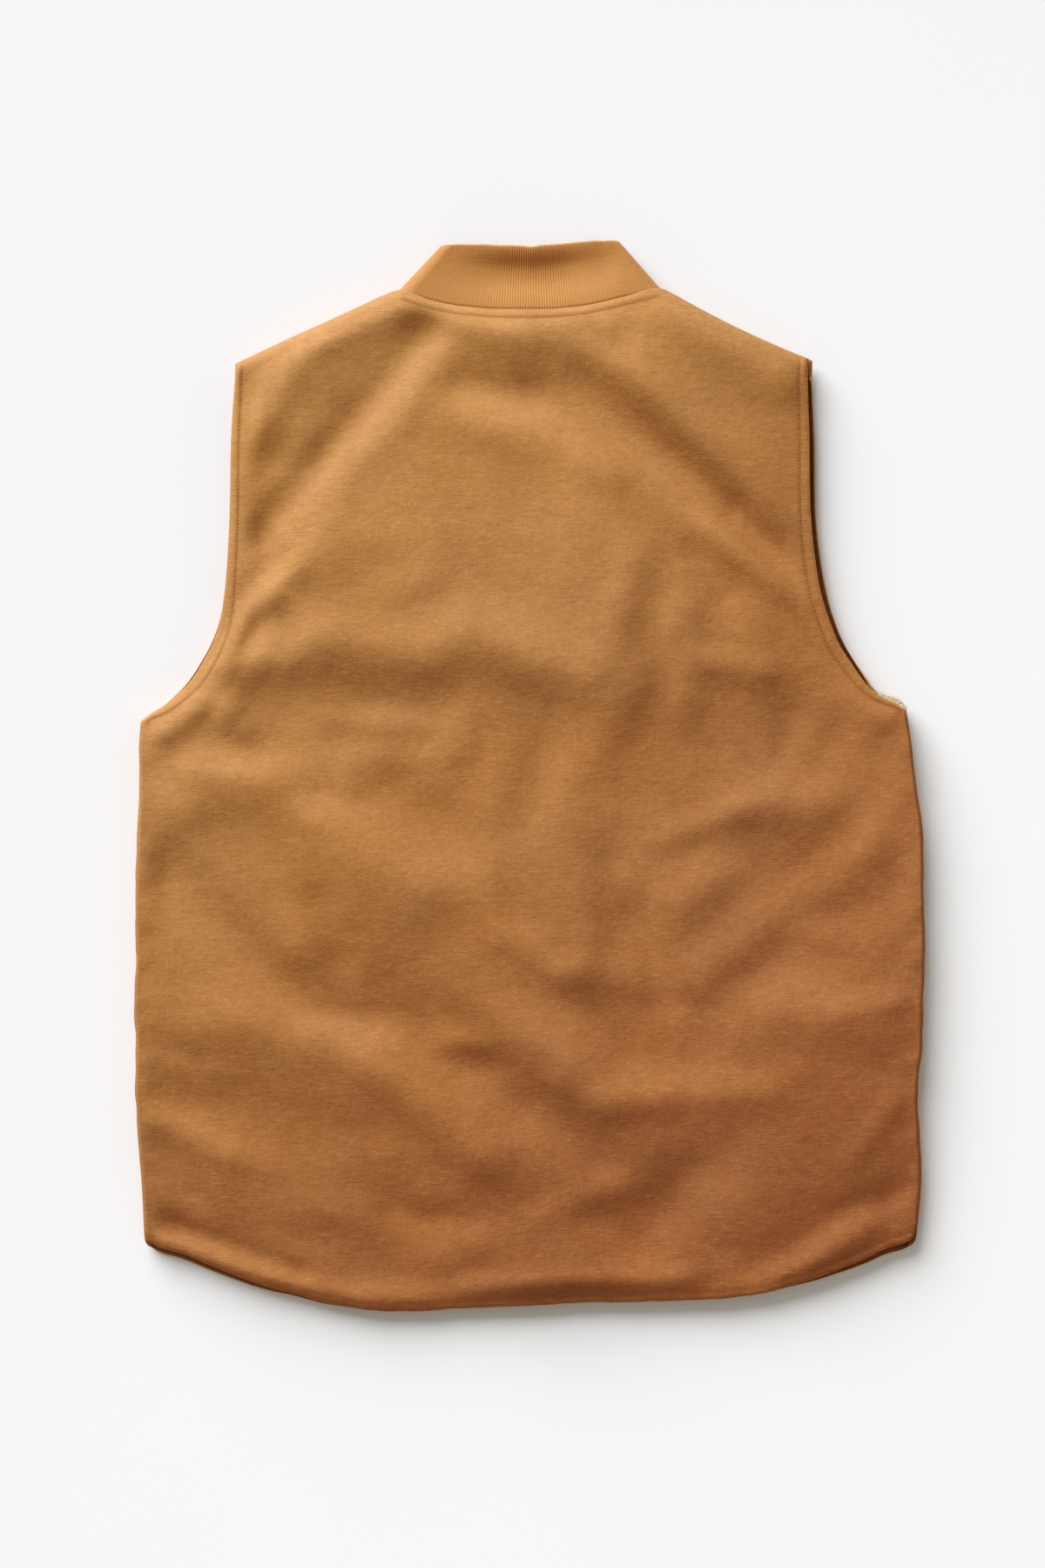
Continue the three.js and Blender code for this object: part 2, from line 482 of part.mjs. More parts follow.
// --------------------------------------------------------------------- collar
// One loop of doubled knit, open at the front, pressed flat: a back layer, a
// round fold at each side and a front layer that droops to the zip.
function collar() {
  const loops = [
    { left: NECK_POINT.left[0], right: NECK_POINT.right[0], high: SEAM_HIGH, back: neckBack, front: neckFront, scale: 95, lift: NECK_GAP },
    { left: RIM_BACK[0].x, right: RIM_BACK[RIM_BACK.length - 1].x, high: RIM_HIGH, back: rimBack, front: rimFront, scale: 64, lift: 0 },
  ];
  const BACK = 14, TURN = 6, FRONT = 7, TALL = 5;
  function loopPoints(L) {
    const r = (L.high - RIM_LOW) / 2, zc = (L.high + RIM_LOW) / 2, out = [], inn = [];
    const frontY = (x) => {
      const end = x < 0 ? L.left : L.right, f = Math.abs(x) / Math.abs(end);
      return L.front(f * L.scale) + (L.back(end) - L.front(L.scale)) * f ** 4;
    };
    const add = (xo, zo, xi, zi, y, steep = 0) => {
      const up = y + L.lift * Math.hypot(1, steep);
      out.push([xo, up, zo]); inn.push([xi, up, zi]);
    };
    const slope = (x) => (frontY(x + 0.5) - frontY(x - 0.5));
    for (let i = 0; i < FRONT; i++) {
      const x = lerp(SLIT, L.right - r, i / FRONT);
      add(x, zc - r, x, zc - r + KNIT, frontY(x), slope(x));
    }
    for (let i = 0; i < TURN; i++) {
      const b = lerp(-90, 90, i / TURN), x = L.right - r + r * cosDeg(b);
      add(x, zc + r * sinDeg(b), L.right - r + (r - KNIT) * cosDeg(b), zc + (r - KNIT) * sinDeg(b), b < 0 ? frontY(x) : L.back(x), b < 0 ? slope(x) : 0);
    }
    for (let i = 0; i < BACK; i++) {
      const x = lerp(L.right - r, L.left + r, i / BACK);
      add(x, zc + r, x, zc + r - KNIT, L.back(x));
    }
    for (let i = 0; i < TURN; i++) {
      const b = lerp(90, 270, i / TURN), x = L.left + r + r * cosDeg(b);
      add(x, zc + r * sinDeg(b), L.left + r + (r - KNIT) * cosDeg(b), zc + (r - KNIT) * sinDeg(b), b > 180 ? frontY(x) : L.back(x), b > 180 ? slope(x) : 0);
    }
    for (let i = 0; i <= FRONT; i++) {
      const x = lerp(L.left + r, -SLIT, i / FRONT);
      add(x, zc - r, x, zc - r + KNIT, frontY(x), slope(x));
    }
    return { out, inn };
  }
  const [seam, rim] = loops.map(loopPoints);
  const outer = [], inner = [];
  for (let j = 0; j <= TALL; j++) {
    const h = j / TALL;
    const mix = (a, b, i, side) => {
      const p = a[i].map((v, q) => lerp(v, b[i][q], h));
      if (p[2] > 10) p[2] -= SAG * Math.exp(-(((p[0] - 2) / 46) ** 2)) * Math.sin(Math.PI * Math.min(1, h * 1.15));
      if (j === TALL) p[2] += side * (p[2] > 10 ? -0.8 : 0.0);       // softened rim
      p[1] -= CENTRE_Y;
      return p;
    };
    outer.push(seam.out.map((_, i) => mix(seam.out, rim.out, i, 1)));
    inner.push(seam.inn.map((_, i) => mix(seam.inn, rim.inn, i, 0)));
  }
  const turn = (g) => g.map((r) => r.slice().reverse());
  return wall('collar', turn(outer), turn(inner), { color: 0xb77b45, roughness: 0.95, metalness: 0 });
}

// ------------------------------------------------------------------ front zip
// Fastened zip down the middle of the front: cloth tape inside the panels and
// the closed chain in the slit, with its end stop, slider and pull tab.
function frontZip() {
  const rows = [
    { y: hemLine(0) + 3, half: 4.2, low: 0.9 }, { y: hemLine(0) + 9, half: 4.2, low: 0.9 },
    { y: hemLine(0) + 9.6, half: 3.5, low: 1.3 }, { y: -190, half: 3.5, low: 1.3 },
    { y: 0, half: 3.5, low: 1.3 }, { y: 150, half: 3.5, low: 1.3 },
    { y: 259, half: 3.5, low: 1.3 }, { y: 259.6, half: 3.2, low: 0.25 },
    { y: 282, half: 3.2, low: 0.25 }, { y: 282.6, half: 4.9, low: 0.4 },
    { y: 295, half: 4.7, low: 0.5 }, { y: 295.6, half: 3.5, low: 1.3 },
    { y: 301, half: 3.5, low: 1.3 },
  ];
  const pts = [], tris = [];
  const section = (r) => [[-TAPE.half, TAPE.high], [-TAPE.half, TAPE.low], [-r.half, TAPE.low], [-r.half, r.low],
    [r.half, r.low], [r.half, TAPE.low], [TAPE.half, TAPE.low], [TAPE.half, TAPE.high]];
  rows.forEach((r) => section(r).forEach((q) => pts.push([q[0], r.y - CENTRE_Y, q[1]])));
  const n = 8;
  for (let j = 0; j < rows.length - 1; j++) {
    for (let k = 0; k < n; k++) {
      const a = j * n + k, b = j * n + (k + 1) % n;
      tris.push([a, b + n, b], [a, a + n, b + n]);
    }
  }
  const cap = THREE.ShapeUtils.triangulateShape(section(rows[0]).map((q) => new THREE.Vector2(q[0], q[1])), []);
  const last = (rows.length - 1) * n;
  for (const t of cap) { tris.push([t[0], t[1], t[2]]); tris.push([last + t[0], last + t[2], last + t[1]]); }
  return solid('front_zip', pts, tris, { color: 0x6e4d2c, roughness: 0.6, metalness: 0.2 });
}

// ------------------------------------------------------------ underarm lining
// The pale inner cloth where it peeps out of the right armhole's lower corner.
function underarmLining() {
  const rows = [
    { outX: 271.8, outY: 49.6, inX: 261.0, inY: 37.0, z: 11.0 },
    { outX: 266.5, outY: 55.6, inX: 254.0, inY: 40.5, z: 10.6 },
    { outX: 256.5, outY: 59.8, inX: 244.0, inY: 46.0, z: 9.8 },
    { outX: 247.0, outY: 64.0, inX: 235.0, inY: 53.0, z: 9.0 },
  ];
  const thick = 2.0, pts = [], tris = [];
  for (const r of rows) {
    for (const f of [0, 0.12, 1]) {
      const z = f === 0 ? 0.35 : 1;
      const x = lerp(r.outX, r.inX, f), y = lerp(r.outY, r.inY, f);
      pts.push([x, y - CENTRE_Y, r.z + z * thick / 2], [x, y - CENTRE_Y, r.z - z * thick / 2]);
    }
  }
  const ring = [0, 2, 4, 5, 3, 1], n = 6;
  for (let j = 0; j < rows.length - 1; j++) {
    for (let k = 0; k < n; k++) {
      const a = j * n + ring[k], b = j * n + ring[(k + 1) % n];
      tris.push([a, b + n, b], [a, a + n, b + n]);
    }
  }
  const cap = [[0, 2, 3], [0, 3, 1], [2, 4, 5], [2, 5, 3]];
  const last = (rows.length - 1) * n;
  for (const t of cap) { tris.push([t[0], t[1], t[2]]); tris.push([last + t[0], last + t[2], last + t[1]]); }
  return solid('underarm_lining', pts, tris, { color: 0xc8b496, roughness: 1, metalness: 0 });
}

// -------------------------------------------------------------------- the vest
const vest = new THREE.Group();
vest.add(backPanel(), frontPanel('left'), frontPanel('right'), collar(), frontZip(), underarmLining());

export default vest;
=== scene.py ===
# Padded canvas work vest with a rib-knit mock neck, zipped up and lying face
# down on a pale surface, seen from straight above. Tables are in millimetres;
# meshes are in metres.
import math

import bpy
import numpy as np
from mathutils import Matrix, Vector
from mathutils.bvhtree import BVHTree


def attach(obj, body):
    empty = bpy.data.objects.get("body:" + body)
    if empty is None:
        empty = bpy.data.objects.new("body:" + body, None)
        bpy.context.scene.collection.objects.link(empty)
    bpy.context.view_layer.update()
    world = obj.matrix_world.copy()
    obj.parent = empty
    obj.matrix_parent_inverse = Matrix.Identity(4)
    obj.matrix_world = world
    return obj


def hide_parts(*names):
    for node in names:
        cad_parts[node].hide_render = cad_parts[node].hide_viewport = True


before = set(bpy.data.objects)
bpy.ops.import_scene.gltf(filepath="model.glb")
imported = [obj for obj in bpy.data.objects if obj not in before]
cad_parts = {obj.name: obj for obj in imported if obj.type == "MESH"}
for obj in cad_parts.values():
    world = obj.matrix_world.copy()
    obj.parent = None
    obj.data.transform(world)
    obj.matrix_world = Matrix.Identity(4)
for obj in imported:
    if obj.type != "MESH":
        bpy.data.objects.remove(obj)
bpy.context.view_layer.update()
MM = 0.001
RNG = np.random.RandomState(7)

# ------------------------------------------------------------------ dimensions
CENTRE_Y = -0.3
WALL = 4.0
KNIT = 3.6
SEAM_Z = 11.0
SEAM_GAP = 0.3
ROLL = 12.0
SIDE_ROLL = 3.6
SHOULDER_ROLL = 9.0
HEM_ROLL = 10.0
FRONT_CURL = dict(left=2.0, right=6.6)      # how far the front armhole edge turns up
LIP = 8.0
EDGE_TOP = 15.2
CROWN_TOP = 26.0
LIFT_RUN = 55.0
LIP_IN = 0.5
PEEP = 1.6
SLIT = 5.5
RIM_LOW = 0.4
SEAM_HIGH = 21.6
RIM_HIGH = 18.0
RIB_PITCH = 1.95
STITCH_PITCH = 2.5
FOLD_GAIN = 0.94

SIDE = [
    dict(y=-340.5, left=-276.3, right=276.9), dict(y=-318, left=-277.5, right=279.4),
    dict(y=-287, left=-278.8, right=281.3), dict(y=-256, left=-281.3, right=280.0),
    dict(y=-224, left=-283.1, right=278.8), dict(y=-193, left=-282.5, right=281.9),
    dict(y=-162, left=-283.8, right=282.5), dict(y=-131, left=-282.5, right=283.8),
    dict(y=-84, left=-283.2, right=283.1), dict(y=-37, left=-281.3, right=281.9),
    dict(y=-6, left=-280.0, right=277.5), dict(y=19, left=-280.6, right=275.0),
]
UNDERARM = dict(left=(-279.1, 39.4), right=(270.6, 47.5))
ARM_LEFT = [
    dict(y=44.4, front=-273.1, back=-271.8), dict(y=50.6, front=-263.1, back=-260.8),
    dict(y=56.9, front=-256.3, back=-253.6), dict(y=69.4, front=-245.0, back=-242.2),
    dict(y=81.9, front=-236.9, back=-234.4), dict(y=94.4, front=-230.0, back=-227.8),
    dict(y=106.9, front=-225.0, back=-223.1), dict(y=131.9, front=-219.4, back=-218.8),
    dict(y=181.9, front=-215.6, back=-215.4), dict(y=244.4, front=-214.2, back=-214.0),
    dict(y=281.9, front=-212.0, back=-211.8),
]
ARM_RIGHT = [
    dict(y=53.1, front=262.5, back=261.2), dict(y=56.9, front=255.0, back=252.6),
    dict(y=63.1, front=247.5, back=244.6), dict(y=69.4, front=243.1, back=239.1),
    dict(y=81.9, front=234.4, back=230.3), dict(y=94.4, front=226.9, back=222.4),
    dict(y=106.9, front=221.3, back=217.2), dict(y=131.9, front=213.8, back=209.2),
    dict(y=181.9, front=206.4, back=202.4), dict(y=244.4, front=205.0, back=201.0),
    dict(y=281.9, front=203.2, back=199.8),
]
TIP = dict(
    left=dict(front=(-211.4, 296.0), back=(-211.3, 296.2)),
    right=dict(front=(203.3, 298.6), back=(200.2, 300.0)),
)
SHOULDER_LEFT = [(-192.5, 305.2), (-167.5, 316.8), (-142.5, 328.0), (-117.5, 339.6), (-105.0, 345.3)]
SHOULDER_RIGHT = [(182.5, 307.2), (157.5, 318.3), (132.5, 330.6), (113.8, 340.6), (103.0, 346.6)]
NECK_POINT = dict(left=(-94.4, 348.8), right=(95.0, 350.0))
NECK_BACK = [(-70.6, 340.8), (-47.5, 336.4), (-18.8, 334.4), (10.0, 334.4), (38.8, 336.9), (66.9, 343.1)]
NECK_FRONT = [(5.5, 247.0), (30.0, 254.5), (52.0, 272.0), (70.0, 296.0), (84.0, 323.0), (95.0, 349.5)]
RIM_BACK = [(-63.1, 381.2), (-40.0, 381.0), (0.0, 380.7), (38.8, 383.0), (64.0, 384.6)]
RIM_FRONT = [(5.5, 303.0), (22.0, 308.0), (38.0, 322.0), (51.0, 343.0), (59.0, 363.0), (64.0, 383.0)]
# hem: edge of the front panels, how far short of it the back panel stops, and
# how far above its own edge the back hem is stitched
HEM = [
    dict(x=-262, y=-345.0, short=5.0, stitch=5.5), dict(x=-246, y=-349.5, short=5.2, stitch=5.5),
    dict(x=-230, y=-356.4, short=5.0, stitch=5.5), dict(x=-211, y=-363.4, short=4.6, stitch=5.5),
    dict(x=-192, y=-369.6, short=3.8, stitch=5.5), dict(x=-167, y=-375.4, short=3.0, stitch=5.5),
    dict(x=-142, y=-381.0, short=2.2, stitch=5.5), dict(x=-105, y=-385.5, short=1.4, stitch=5.0),
    dict(x=-55, y=-383.8, short=1.2, stitch=5.0), dict(x=20, y=-380.0, short=1.2, stitch=5.0),
    dict(x=95, y=-377.6, short=1.2, stitch=5.0), dict(x=145, y=-375.4, short=1.2, stitch=5.0),
    dict(x=170, y=-372.4, short=1.9, stitch=5.2), dict(x=195, y=-366.6, short=3.2, stitch=5.4),
    dict(x=220, y=-359.6, short=4.8, stitch=5.5), dict(x=245, y=-350.4, short=5.8, stitch=5.5),
    dict(x=258, y=-344.6, short=6.2, stitch=5.5),
]
HEM_CORNER = dict(left=(-276.3, -340.5), right=(276.9, -339.4))

# Folds of the back panel: a ridge (or a hollow, when high is negative) along
# the line x0,y0 to x1,y1, with its half width.
FOLD_COLUMNS = ("x0", "y0", "x1", "y1", "wide", "high")
FOLDS = [
    (-142, 312, -71, 345, 7.9, 3.9), (-50, 333, 12, 305, 13, 9.0), (43, 319, 60, 308, 7, -3.5), (111, 324, 198, 275, 14, 6.1),
    (142, 273, 173, 316, 19, -2.5), (-139, 267, -116, 299, 8, -2.1), (-45, 278, -4, 272, 12, -9.0), (-74, 279, -20, 245, 15, 4.3),
    (26, 345, 181, 172, 14, 7.0), (-215, 218, -163, 299, 12, 7.1), (-184, 182, -78, 313, 11, -9.0), (36, 260, 127, 209, 14, -5.6),
    (20, 297, 178, 167, 11, -9.0), (-148, 208, -92, 256, 10, 1.8), (-186, 228, -186, 228, 12, -4.6), (46, 221, 53, 217, 10, 4.2),
    (-204, 165, -80, 166, 18, 3.3), (148, 187, 189, 142, 7.7, -6.2), (130, 172, 182, 137, 9, 5.1), (-191, 166, -174, 139, 7, -5.2),
    (-205, 127, -165, 171, 7, -2.7), (122, 161, 138, 134, 10, -5.6), (-94, 130, -78, 138, 11, 3.1), (70, 121, 73, 145, 12, 5.1),
    (40, 161, 50, 91, 28, 9.0), (-202, 97, -197, 108, 7, -6.0), (-248, 66, -176, 138, 9, 8.0), (-140, 98, -73, 87, 13, 5.9),
    (-42, 102, 18, 78, 17, 8.8), (109, 114, 112, 57, 11, 4.8), (-271, 85, -179, 83, 14, 9.0), (-199, 50, -164, 108, 7.1, -1.2),
    (134, 80, 160, 75, 10, 3.9), (48, 17, 95, 100, 10, 2.0), (256, 53, 278, 52, 12, 9.0), (-120, 52, -74, 49, 12, -5.2),
    (-220, 42, -216, 50, 7, 2.3), (-181, 30, -163, 58, 23, -8.0), (-271, 30, -242, 52, 10, 9.0), (-212, 41, -207, 35, 7.8, 5.2),
    (-4, 50, 9, 25, 12, -3.4), (184, 26, 187, 39, 10, -3.3), (0, -19, 29, 82, 13, -3.4), (-138, 25, -79, 25, 8, -3.0),
    (-143, 5, -122, 41, 13, -2.6), (203, 26, 222, 7, 28, -7.7), (198, -10, 224, 35, 11, -2.9), (-40, 5, -34, 20, 10, -2.3),
    (-236, 3, -193, 1, 10, 6.1), (104, 13, 129, -15, 27, -4.0), (-87, -6, -73, -21, 19, -6.7), (-148, -14, -129, -18, 7.5, -2.6),
    (-236, -19, -212, -14, 13, 5.7), (164, -21, 195, -18, 13, 5.4), (243, -48, 267, -10, 10, 2.3), (-98, -15, -53, -50, 15, -4.3),
    (104, -41, 145, -26, 7.2, 2.3), (204, -58, 235, -33, 13, -2.7), (-175, -21, -74, -77, 14, 5.2), (115, -87, 123, -81, 12, 4.5),
    (-116, -79, -97, -90, 20, 7.0), (57, -65, 61, -118, 11, -4.0), (177, -84, 189, -102, 28, -8.1), (-12, -89, -7, -98, 7.5, -3.2),
    (-149, -92, -135, -127, 9, -3.8), (133, -166, 290, -56, 15, -3.2), (205, -116, 206, -116, 10, 4.0), (-254, -71, -170, -161, 15, -9.0),
    (-162, -120, -162, -120, 15, 3.5), (127, -142, 180, -97, 12, 2.4), (-12, -116, 14, -139, 7, 2.1), (78, -107, 95, -156, 11, -6.4),
    (31, -141, 31, -141, 11, 3.5), (228, -167, 280, -159, 7.6, 2.6), (64, -163, 73, -166, 10, -3.4), (-35, -145, 110, -201, 16, -5.3),
    (-139, -171, -113, -176, 7.9, -2.7), (181, -170, 235, -179, 15, 4.8), (-40, -145, 24, -205, 16, 9.0), (-203, -176, -165, -184, 14, 5.6),
    (-108, -166, -46, -201, 17, -8.9), (-53, -190, -39, -192, 8, 5.1), (-288, -183, -240, -201, 8, -3.0), (156, -212, 190, -221, 7.1, -1.8),
    (75, -208, 99, -233, 15, -4.6), (134, -228, 181, -220, 12, 4.4), (66, -231, 93, -229, 11, 5.9), (-238, -232, -228, -235, 18, -9.0),
    (-106, -209, -38, -269, 14, 8.5), (235, -270, 265, -231, 7, 1.6), (3, -239, 45, -272, 14, -8.3), (-271, -242, -218, -272, 8, 4.1),
    (-186, -259, -127, -262, 22, -6.9), (-264, -270, -243, -297, 9, -4.2), (-183, -296, -94, -293, 12, -2.4), (89, -312, 117, -287, 19, -8.5),
    (12, -314, 59, -296, 7.2, 1.8), (234, -312, 280, -297, 7, -2.3), (-96, -308, -79, -320, 13, -5.7), (169, -348, 285, -282, 9, -1.8),
    (-96, -313, -42, -317, 7, -1.9), (103, -315, 142, -337, 11, -2.3), (53, -319, 73, -336, 14, -7.4), (-279, -322, -102, -341, 15, -4.4),
    (-282, -316, -167, -357, 7.2, -7.3), (179, -372, 235, -323, 10, 4.8), (-49, -358, 59, -340, 24, 6.6), (-129, -363, -36, -360, 11, -5.6),
    (-34, -366, 107, -362, 7.7, 4.6), (-275, -347, -125, -390, 22, 9.0),
]


# --------------------------------------------------------------------- helpers
def lerp(a, b, t):
    return a + (b - a) * t


def ease(v):
    t = np.clip(v, 0, 1)
    return t * t * (3 - 2 * t)


def graph(rows):
    """y over x through points, without overshoot."""
    p = np.array(sorted(rows), float)
    x, y = p[:, 0], p[:, 1]
    d = np.diff(y) / np.diff(x)
    m = np.empty(len(x))
    m[0], m[-1] = d[0], d[-1]
    prod = d[:-1] * d[1:]
    with np.errstate(divide="ignore", invalid="ignore"):
        m[1:-1] = np.where(prod <= 0, 0, 2 * prod / (d[:-1] + d[1:]))

    def f(q):
        q = np.clip(np.asarray(q, float), x[0], x[-1])
        i = np.clip(np.searchsorted(x, q, "right") - 1, 0, len(x) - 2)
        h = x[i + 1] - x[i]
        t = (q - x[i]) / h
        t2, t3 = t * t, t * t * t
        return ((2 * t3 - 3 * t2 + 1) * y[i] + (t3 - 2 * t2 + t) * h * m[i]
                + (3 * t2 - 2 * t3) * y[i + 1] + (t3 - t2) * h * m[i + 1])
    return f


def smooth_line(points, fine=40):
    """A centripetal spline through points, as a dense polyline."""
    p = np.array(points, float)
    p = np.vstack([2 * p[0] - p[1], p, 2 * p[-1] - p[-2]])
    out = []
    for i in range(1, len(p) - 2):
        a, b, c, d = p[i - 1:i + 3]
        d0, d1, d2 = (max(1e-4, np.linalg.norm(v) ** 0.5) for v in (b - a, c - b, d - c))
        t1 = ((b - a) / d0 - (c - a) / (d0 + d1) + (c - b) / d1) * d1
        t2 = ((c - b) / d1 - (d - b) / (d1 + d2) + (d - c) / d2) * d1
        t = np.linspace(0, 1, fine, endpoint=False)[:, None]
        out.append(b + t1 * t + (-3 * b + 3 * c - 2 * t1 - t2) * t ** 2 + (2 * b - 2 * c + t1 + t2) * t ** 3)
    out.append(p[-2][None])
    return np.vstack(out)


def by_length(line):
    """A polyline read at fractions of its length."""
    run = np.concatenate([[0], np.cumsum(np.linalg.norm(np.diff(line, axis=0), axis=1))])
    run /= run[-1]

    def f(t):
        t = np.clip(np.asarray(t, float), 0, 1)
        return np.stack([np.interp(t, run, line[:, i]) for i in range(line.shape[1])], -1)
    return f


def path(points):
    return by_length(smooth_line(points))


def value_noise(x, y, size, seed):
    """Smooth noise from -1 to 1 with features about that size."""
    rng = np.random.RandomState(seed)
    n = 256
    table = rng.uniform(-1, 1, (n, n))
    u, v = np.asarray(x) / size + 91.3, np.asarray(y) / size + 57.7
    i, j = np.floor(u).astype(int), np.floor(v).astype(int)
    fu, fv = u - i, v - j
    fu, fv = fu * fu * fu * (fu * (fu * 6 - 15) + 10), fv * fv * fv * (fv * (fv * 6 - 15) + 10)
    a, b = table[i % n, j % n], table[(i + 1) % n, j % n]
    c, d = table[i % n, (j + 1) % n], table[(i + 1) % n, (j + 1) % n]
    return (a * (1 - fu) + b * fu) * (1 - fv) + (c * (1 - fu) + d * fu) * fv


def nearest(x, y, line):
    """Distance to a polyline and the length along it, for many points."""
    p = np.stack([np.ravel(x), np.ravel(y)], -1)
    a, b = line[:-1], line[1:]
    ab = b - a
    length = np.linalg.norm(ab, axis=1)
    run = np.concatenate([[0], np.cumsum(length)])[:-1]
    far, along = np.empty(len(p)), np.empty(len(p))
    for k in range(0, len(p), 4000):
        q = p[k:k + 4000, None, :] - a[None]
        t = np.clip((q * ab).sum(-1) / np.maximum((ab * ab).sum(-1), 1e-9), 0, 1)
        d = np.linalg.norm(q - t[..., None] * ab, axis=-1)
        i = d.argmin(1)
        r = np.arange(len(i))
        far[k:k + 4000] = d[r, i]
        along[k:k + 4000] = run[i] + t[r, i] * length[i]
    return far.reshape(np.shape(x)), along.reshape(np.shape(x))


def make_mesh(name, verts, faces, body="root"):
    """A smooth-shaded mesh object from millimetre points and quads or triangles."""
    verts = np.asarray(verts, float) * MM
    faces = [np.asarray(f) for f in (faces if isinstance(faces, list) else [faces])]
    me = bpy.data.meshes.new(name)
    loops = np.concatenate([f.ravel() for f in faces])
    sizes = np.concatenate([np.full(len(f), f.shape[1]) for f in faces])
    starts = np.concatenate([[0], np.cumsum(sizes)[:-1]])
    me.vertices.add(len(verts))
    me.vertices.foreach_set("co", verts.ravel())
    me.loops.add(len(loops))
    me.loops.foreach_set("vertex_index", loops.astype(np.int32))
    me.polygons.add(len(sizes))
    me.polygons.foreach_set("loop_start", starts.astype(np.int32))
    me.polygons.foreach_set("loop_total", sizes.astype(np.int32))
    me.update(calc_edges=True)
    me.validate()
    me.polygons.foreach_set("use_smooth", np.ones(len(me.polygons), bool))
    ob = bpy.data.objects.new(name, me)
    bpy.context.scene.collection.objects.link(ob)
    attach(ob, body)
    return ob


def paint(ob, name, values):
    a = ob.data.attributes.new(name, "FLOAT", "POINT")
    a.data.foreach_set("value", np.asarray(values, np.float32).ravel())


def grid_faces(rows, cols, off=0, flip=False):
    j, k = np.meshgrid(np.arange(rows - 1), np.arange(cols - 1), indexing="ij")
    a = (j * cols + k + off).ravel()
    q = np.stack([a, a + 1, a + cols + 1, a + cols], -1)
    return q[:, ::-1] if flip else q


def soften_hem(x, y, layer):
    """Rounds the two lower corners and lets the hem waver a little."""
    x, y = x.copy(), y.copy()
    for hand, sign in (("left", 1), ("right", -1)):
        cx, cy = hem_end(hand, layer)
        d = np.hypot(x - cx, y - cy)
        pull = 2.6 * (1 - np.clip(d / 11, 0, 1)) ** 2
        x += sign * pull * 0.72
        y += pull * 0.70
    near_hem = 1 - ease((y - hem_line(x)) / 16)
    y += near_hem * (0.45 * value_noise(x, 0 * x, 23, 41) + 0.28 * value_noise(x, 0 * x, 9, 42))
    return x, y


def wall_faces(rows, cols, flip=False):
    """Two grids back to back, closed round their rim."""
    n = rows * cols
    top, under = grid_faces(rows, cols, 0, flip), grid_faces(rows, cols, n, not flip)
    rim = ([k for k in range(cols - 1)] + [j * cols + cols - 1 for j in range(rows - 1)]
           + [(rows - 1) * cols + k for k in range(cols - 1, 0, -1)] + [j * cols for j in range(rows - 1, 0, -1)])
    rim = np.array(rim)
    nxt = np.roll(rim, -1)
    side = np.stack([nxt, rim, rim + n, nxt + n], -1)
    return top, under, (side[:, ::-1] if flip else side)


# --------------------------------------------------------- outline of the panels
ARM = dict(left=ARM_LEFT, right=ARM_RIGHT)
hem_line = graph([HEM_CORNER["left"], *[(r["x"], r["y"]) for r in HEM], HEM_CORNER["right"]])
hem_short = graph([(r["x"], r["short"]) for r in HEM])
hem_stitch = graph([(r["x"], r["stitch"]) for r in HEM])
hem_drop = graph([(-276, 4.5), (-200, 5.5), (-120, 4.4), (-60, 2.8), (100, 2.2), (200, 1.4), (277, 1.6)])
top_line = graph([TIP["left"]["back"], *SHOULDER_LEFT, NECK_POINT["left"], *NECK_BACK, NECK_POINT["right"],
                  *SHOULDER_RIGHT[::-1], TIP["right"]["back"]])
neck_back = graph([NECK_POINT["left"], *NECK_BACK, NECK_POINT["right"]])
neck_front = graph(NECK_FRONT)
rim_back = graph(RIM_BACK)
rim_front = graph(RIM_FRONT)
edge_left = graph([(r["y"], r["left"]) for r in SIDE] + [UNDERARM["left"][::-1]]
                  + [(r["y"], r["back"]) for r in ARM_LEFT] + [TIP["left"]["back"][::-1]])
edge_right = graph([(r["y"], r["right"]) for r in SIDE] + [UNDERARM["right"][::-1]]
                   + [(r["y"], r["back"]) for r in ARM_RIGHT] + [TIP["right"]["back"][::-1]])


def hem_end(hand, layer):
    x, y = HEM_CORNER[hand]
    return (x, y + (float(hem_short(x)) if layer == "back" else 0))


def side_curve(hand, hem):
    return path([hem, *[(r[hand], r["y"]) for r in SIDE[1:]], UNDERARM[hand]])


def arm_points(hand, layer):
    return [UNDERARM[hand], *[(r[layer], r["y"]) for r in ARM[hand]], TIP[hand][layer]]


def fold_height(x, y):
    z = np.zeros_like(x)
    for row in FOLDS:
        f = dict(zip(FOLD_COLUMNS, row))
        dx, dy = f["x1"] - f["x0"], f["y1"] - f["y0"]
        len2 = dx * dx + dy * dy + 1e-6
        t = ((x - f["x0"]) * dx + (y - f["y0"]) * dy) / len2
        over = np.where(t < 0, -t, np.where(t > 1, t - 1, 0)) * math.sqrt(len2)
        px, py = x - (f["x0"] + t * dx), y - (f["y0"] + t * dy)
        w2 = f["wide"] ** 2
        z += f["high"] * np.exp(-0.5 * ((px * px + py * py) / w2 + over * over / (2.2 * w2)))
    return z * FOLD_GAIN


def from_side(x, y):
    """Distance from the nearer side or armhole edge."""
    return np.minimum(nearest(x, y, FLANK["left"])[0], nearest(x, y, FLANK["right"])[0]).reshape(np.shape(x))


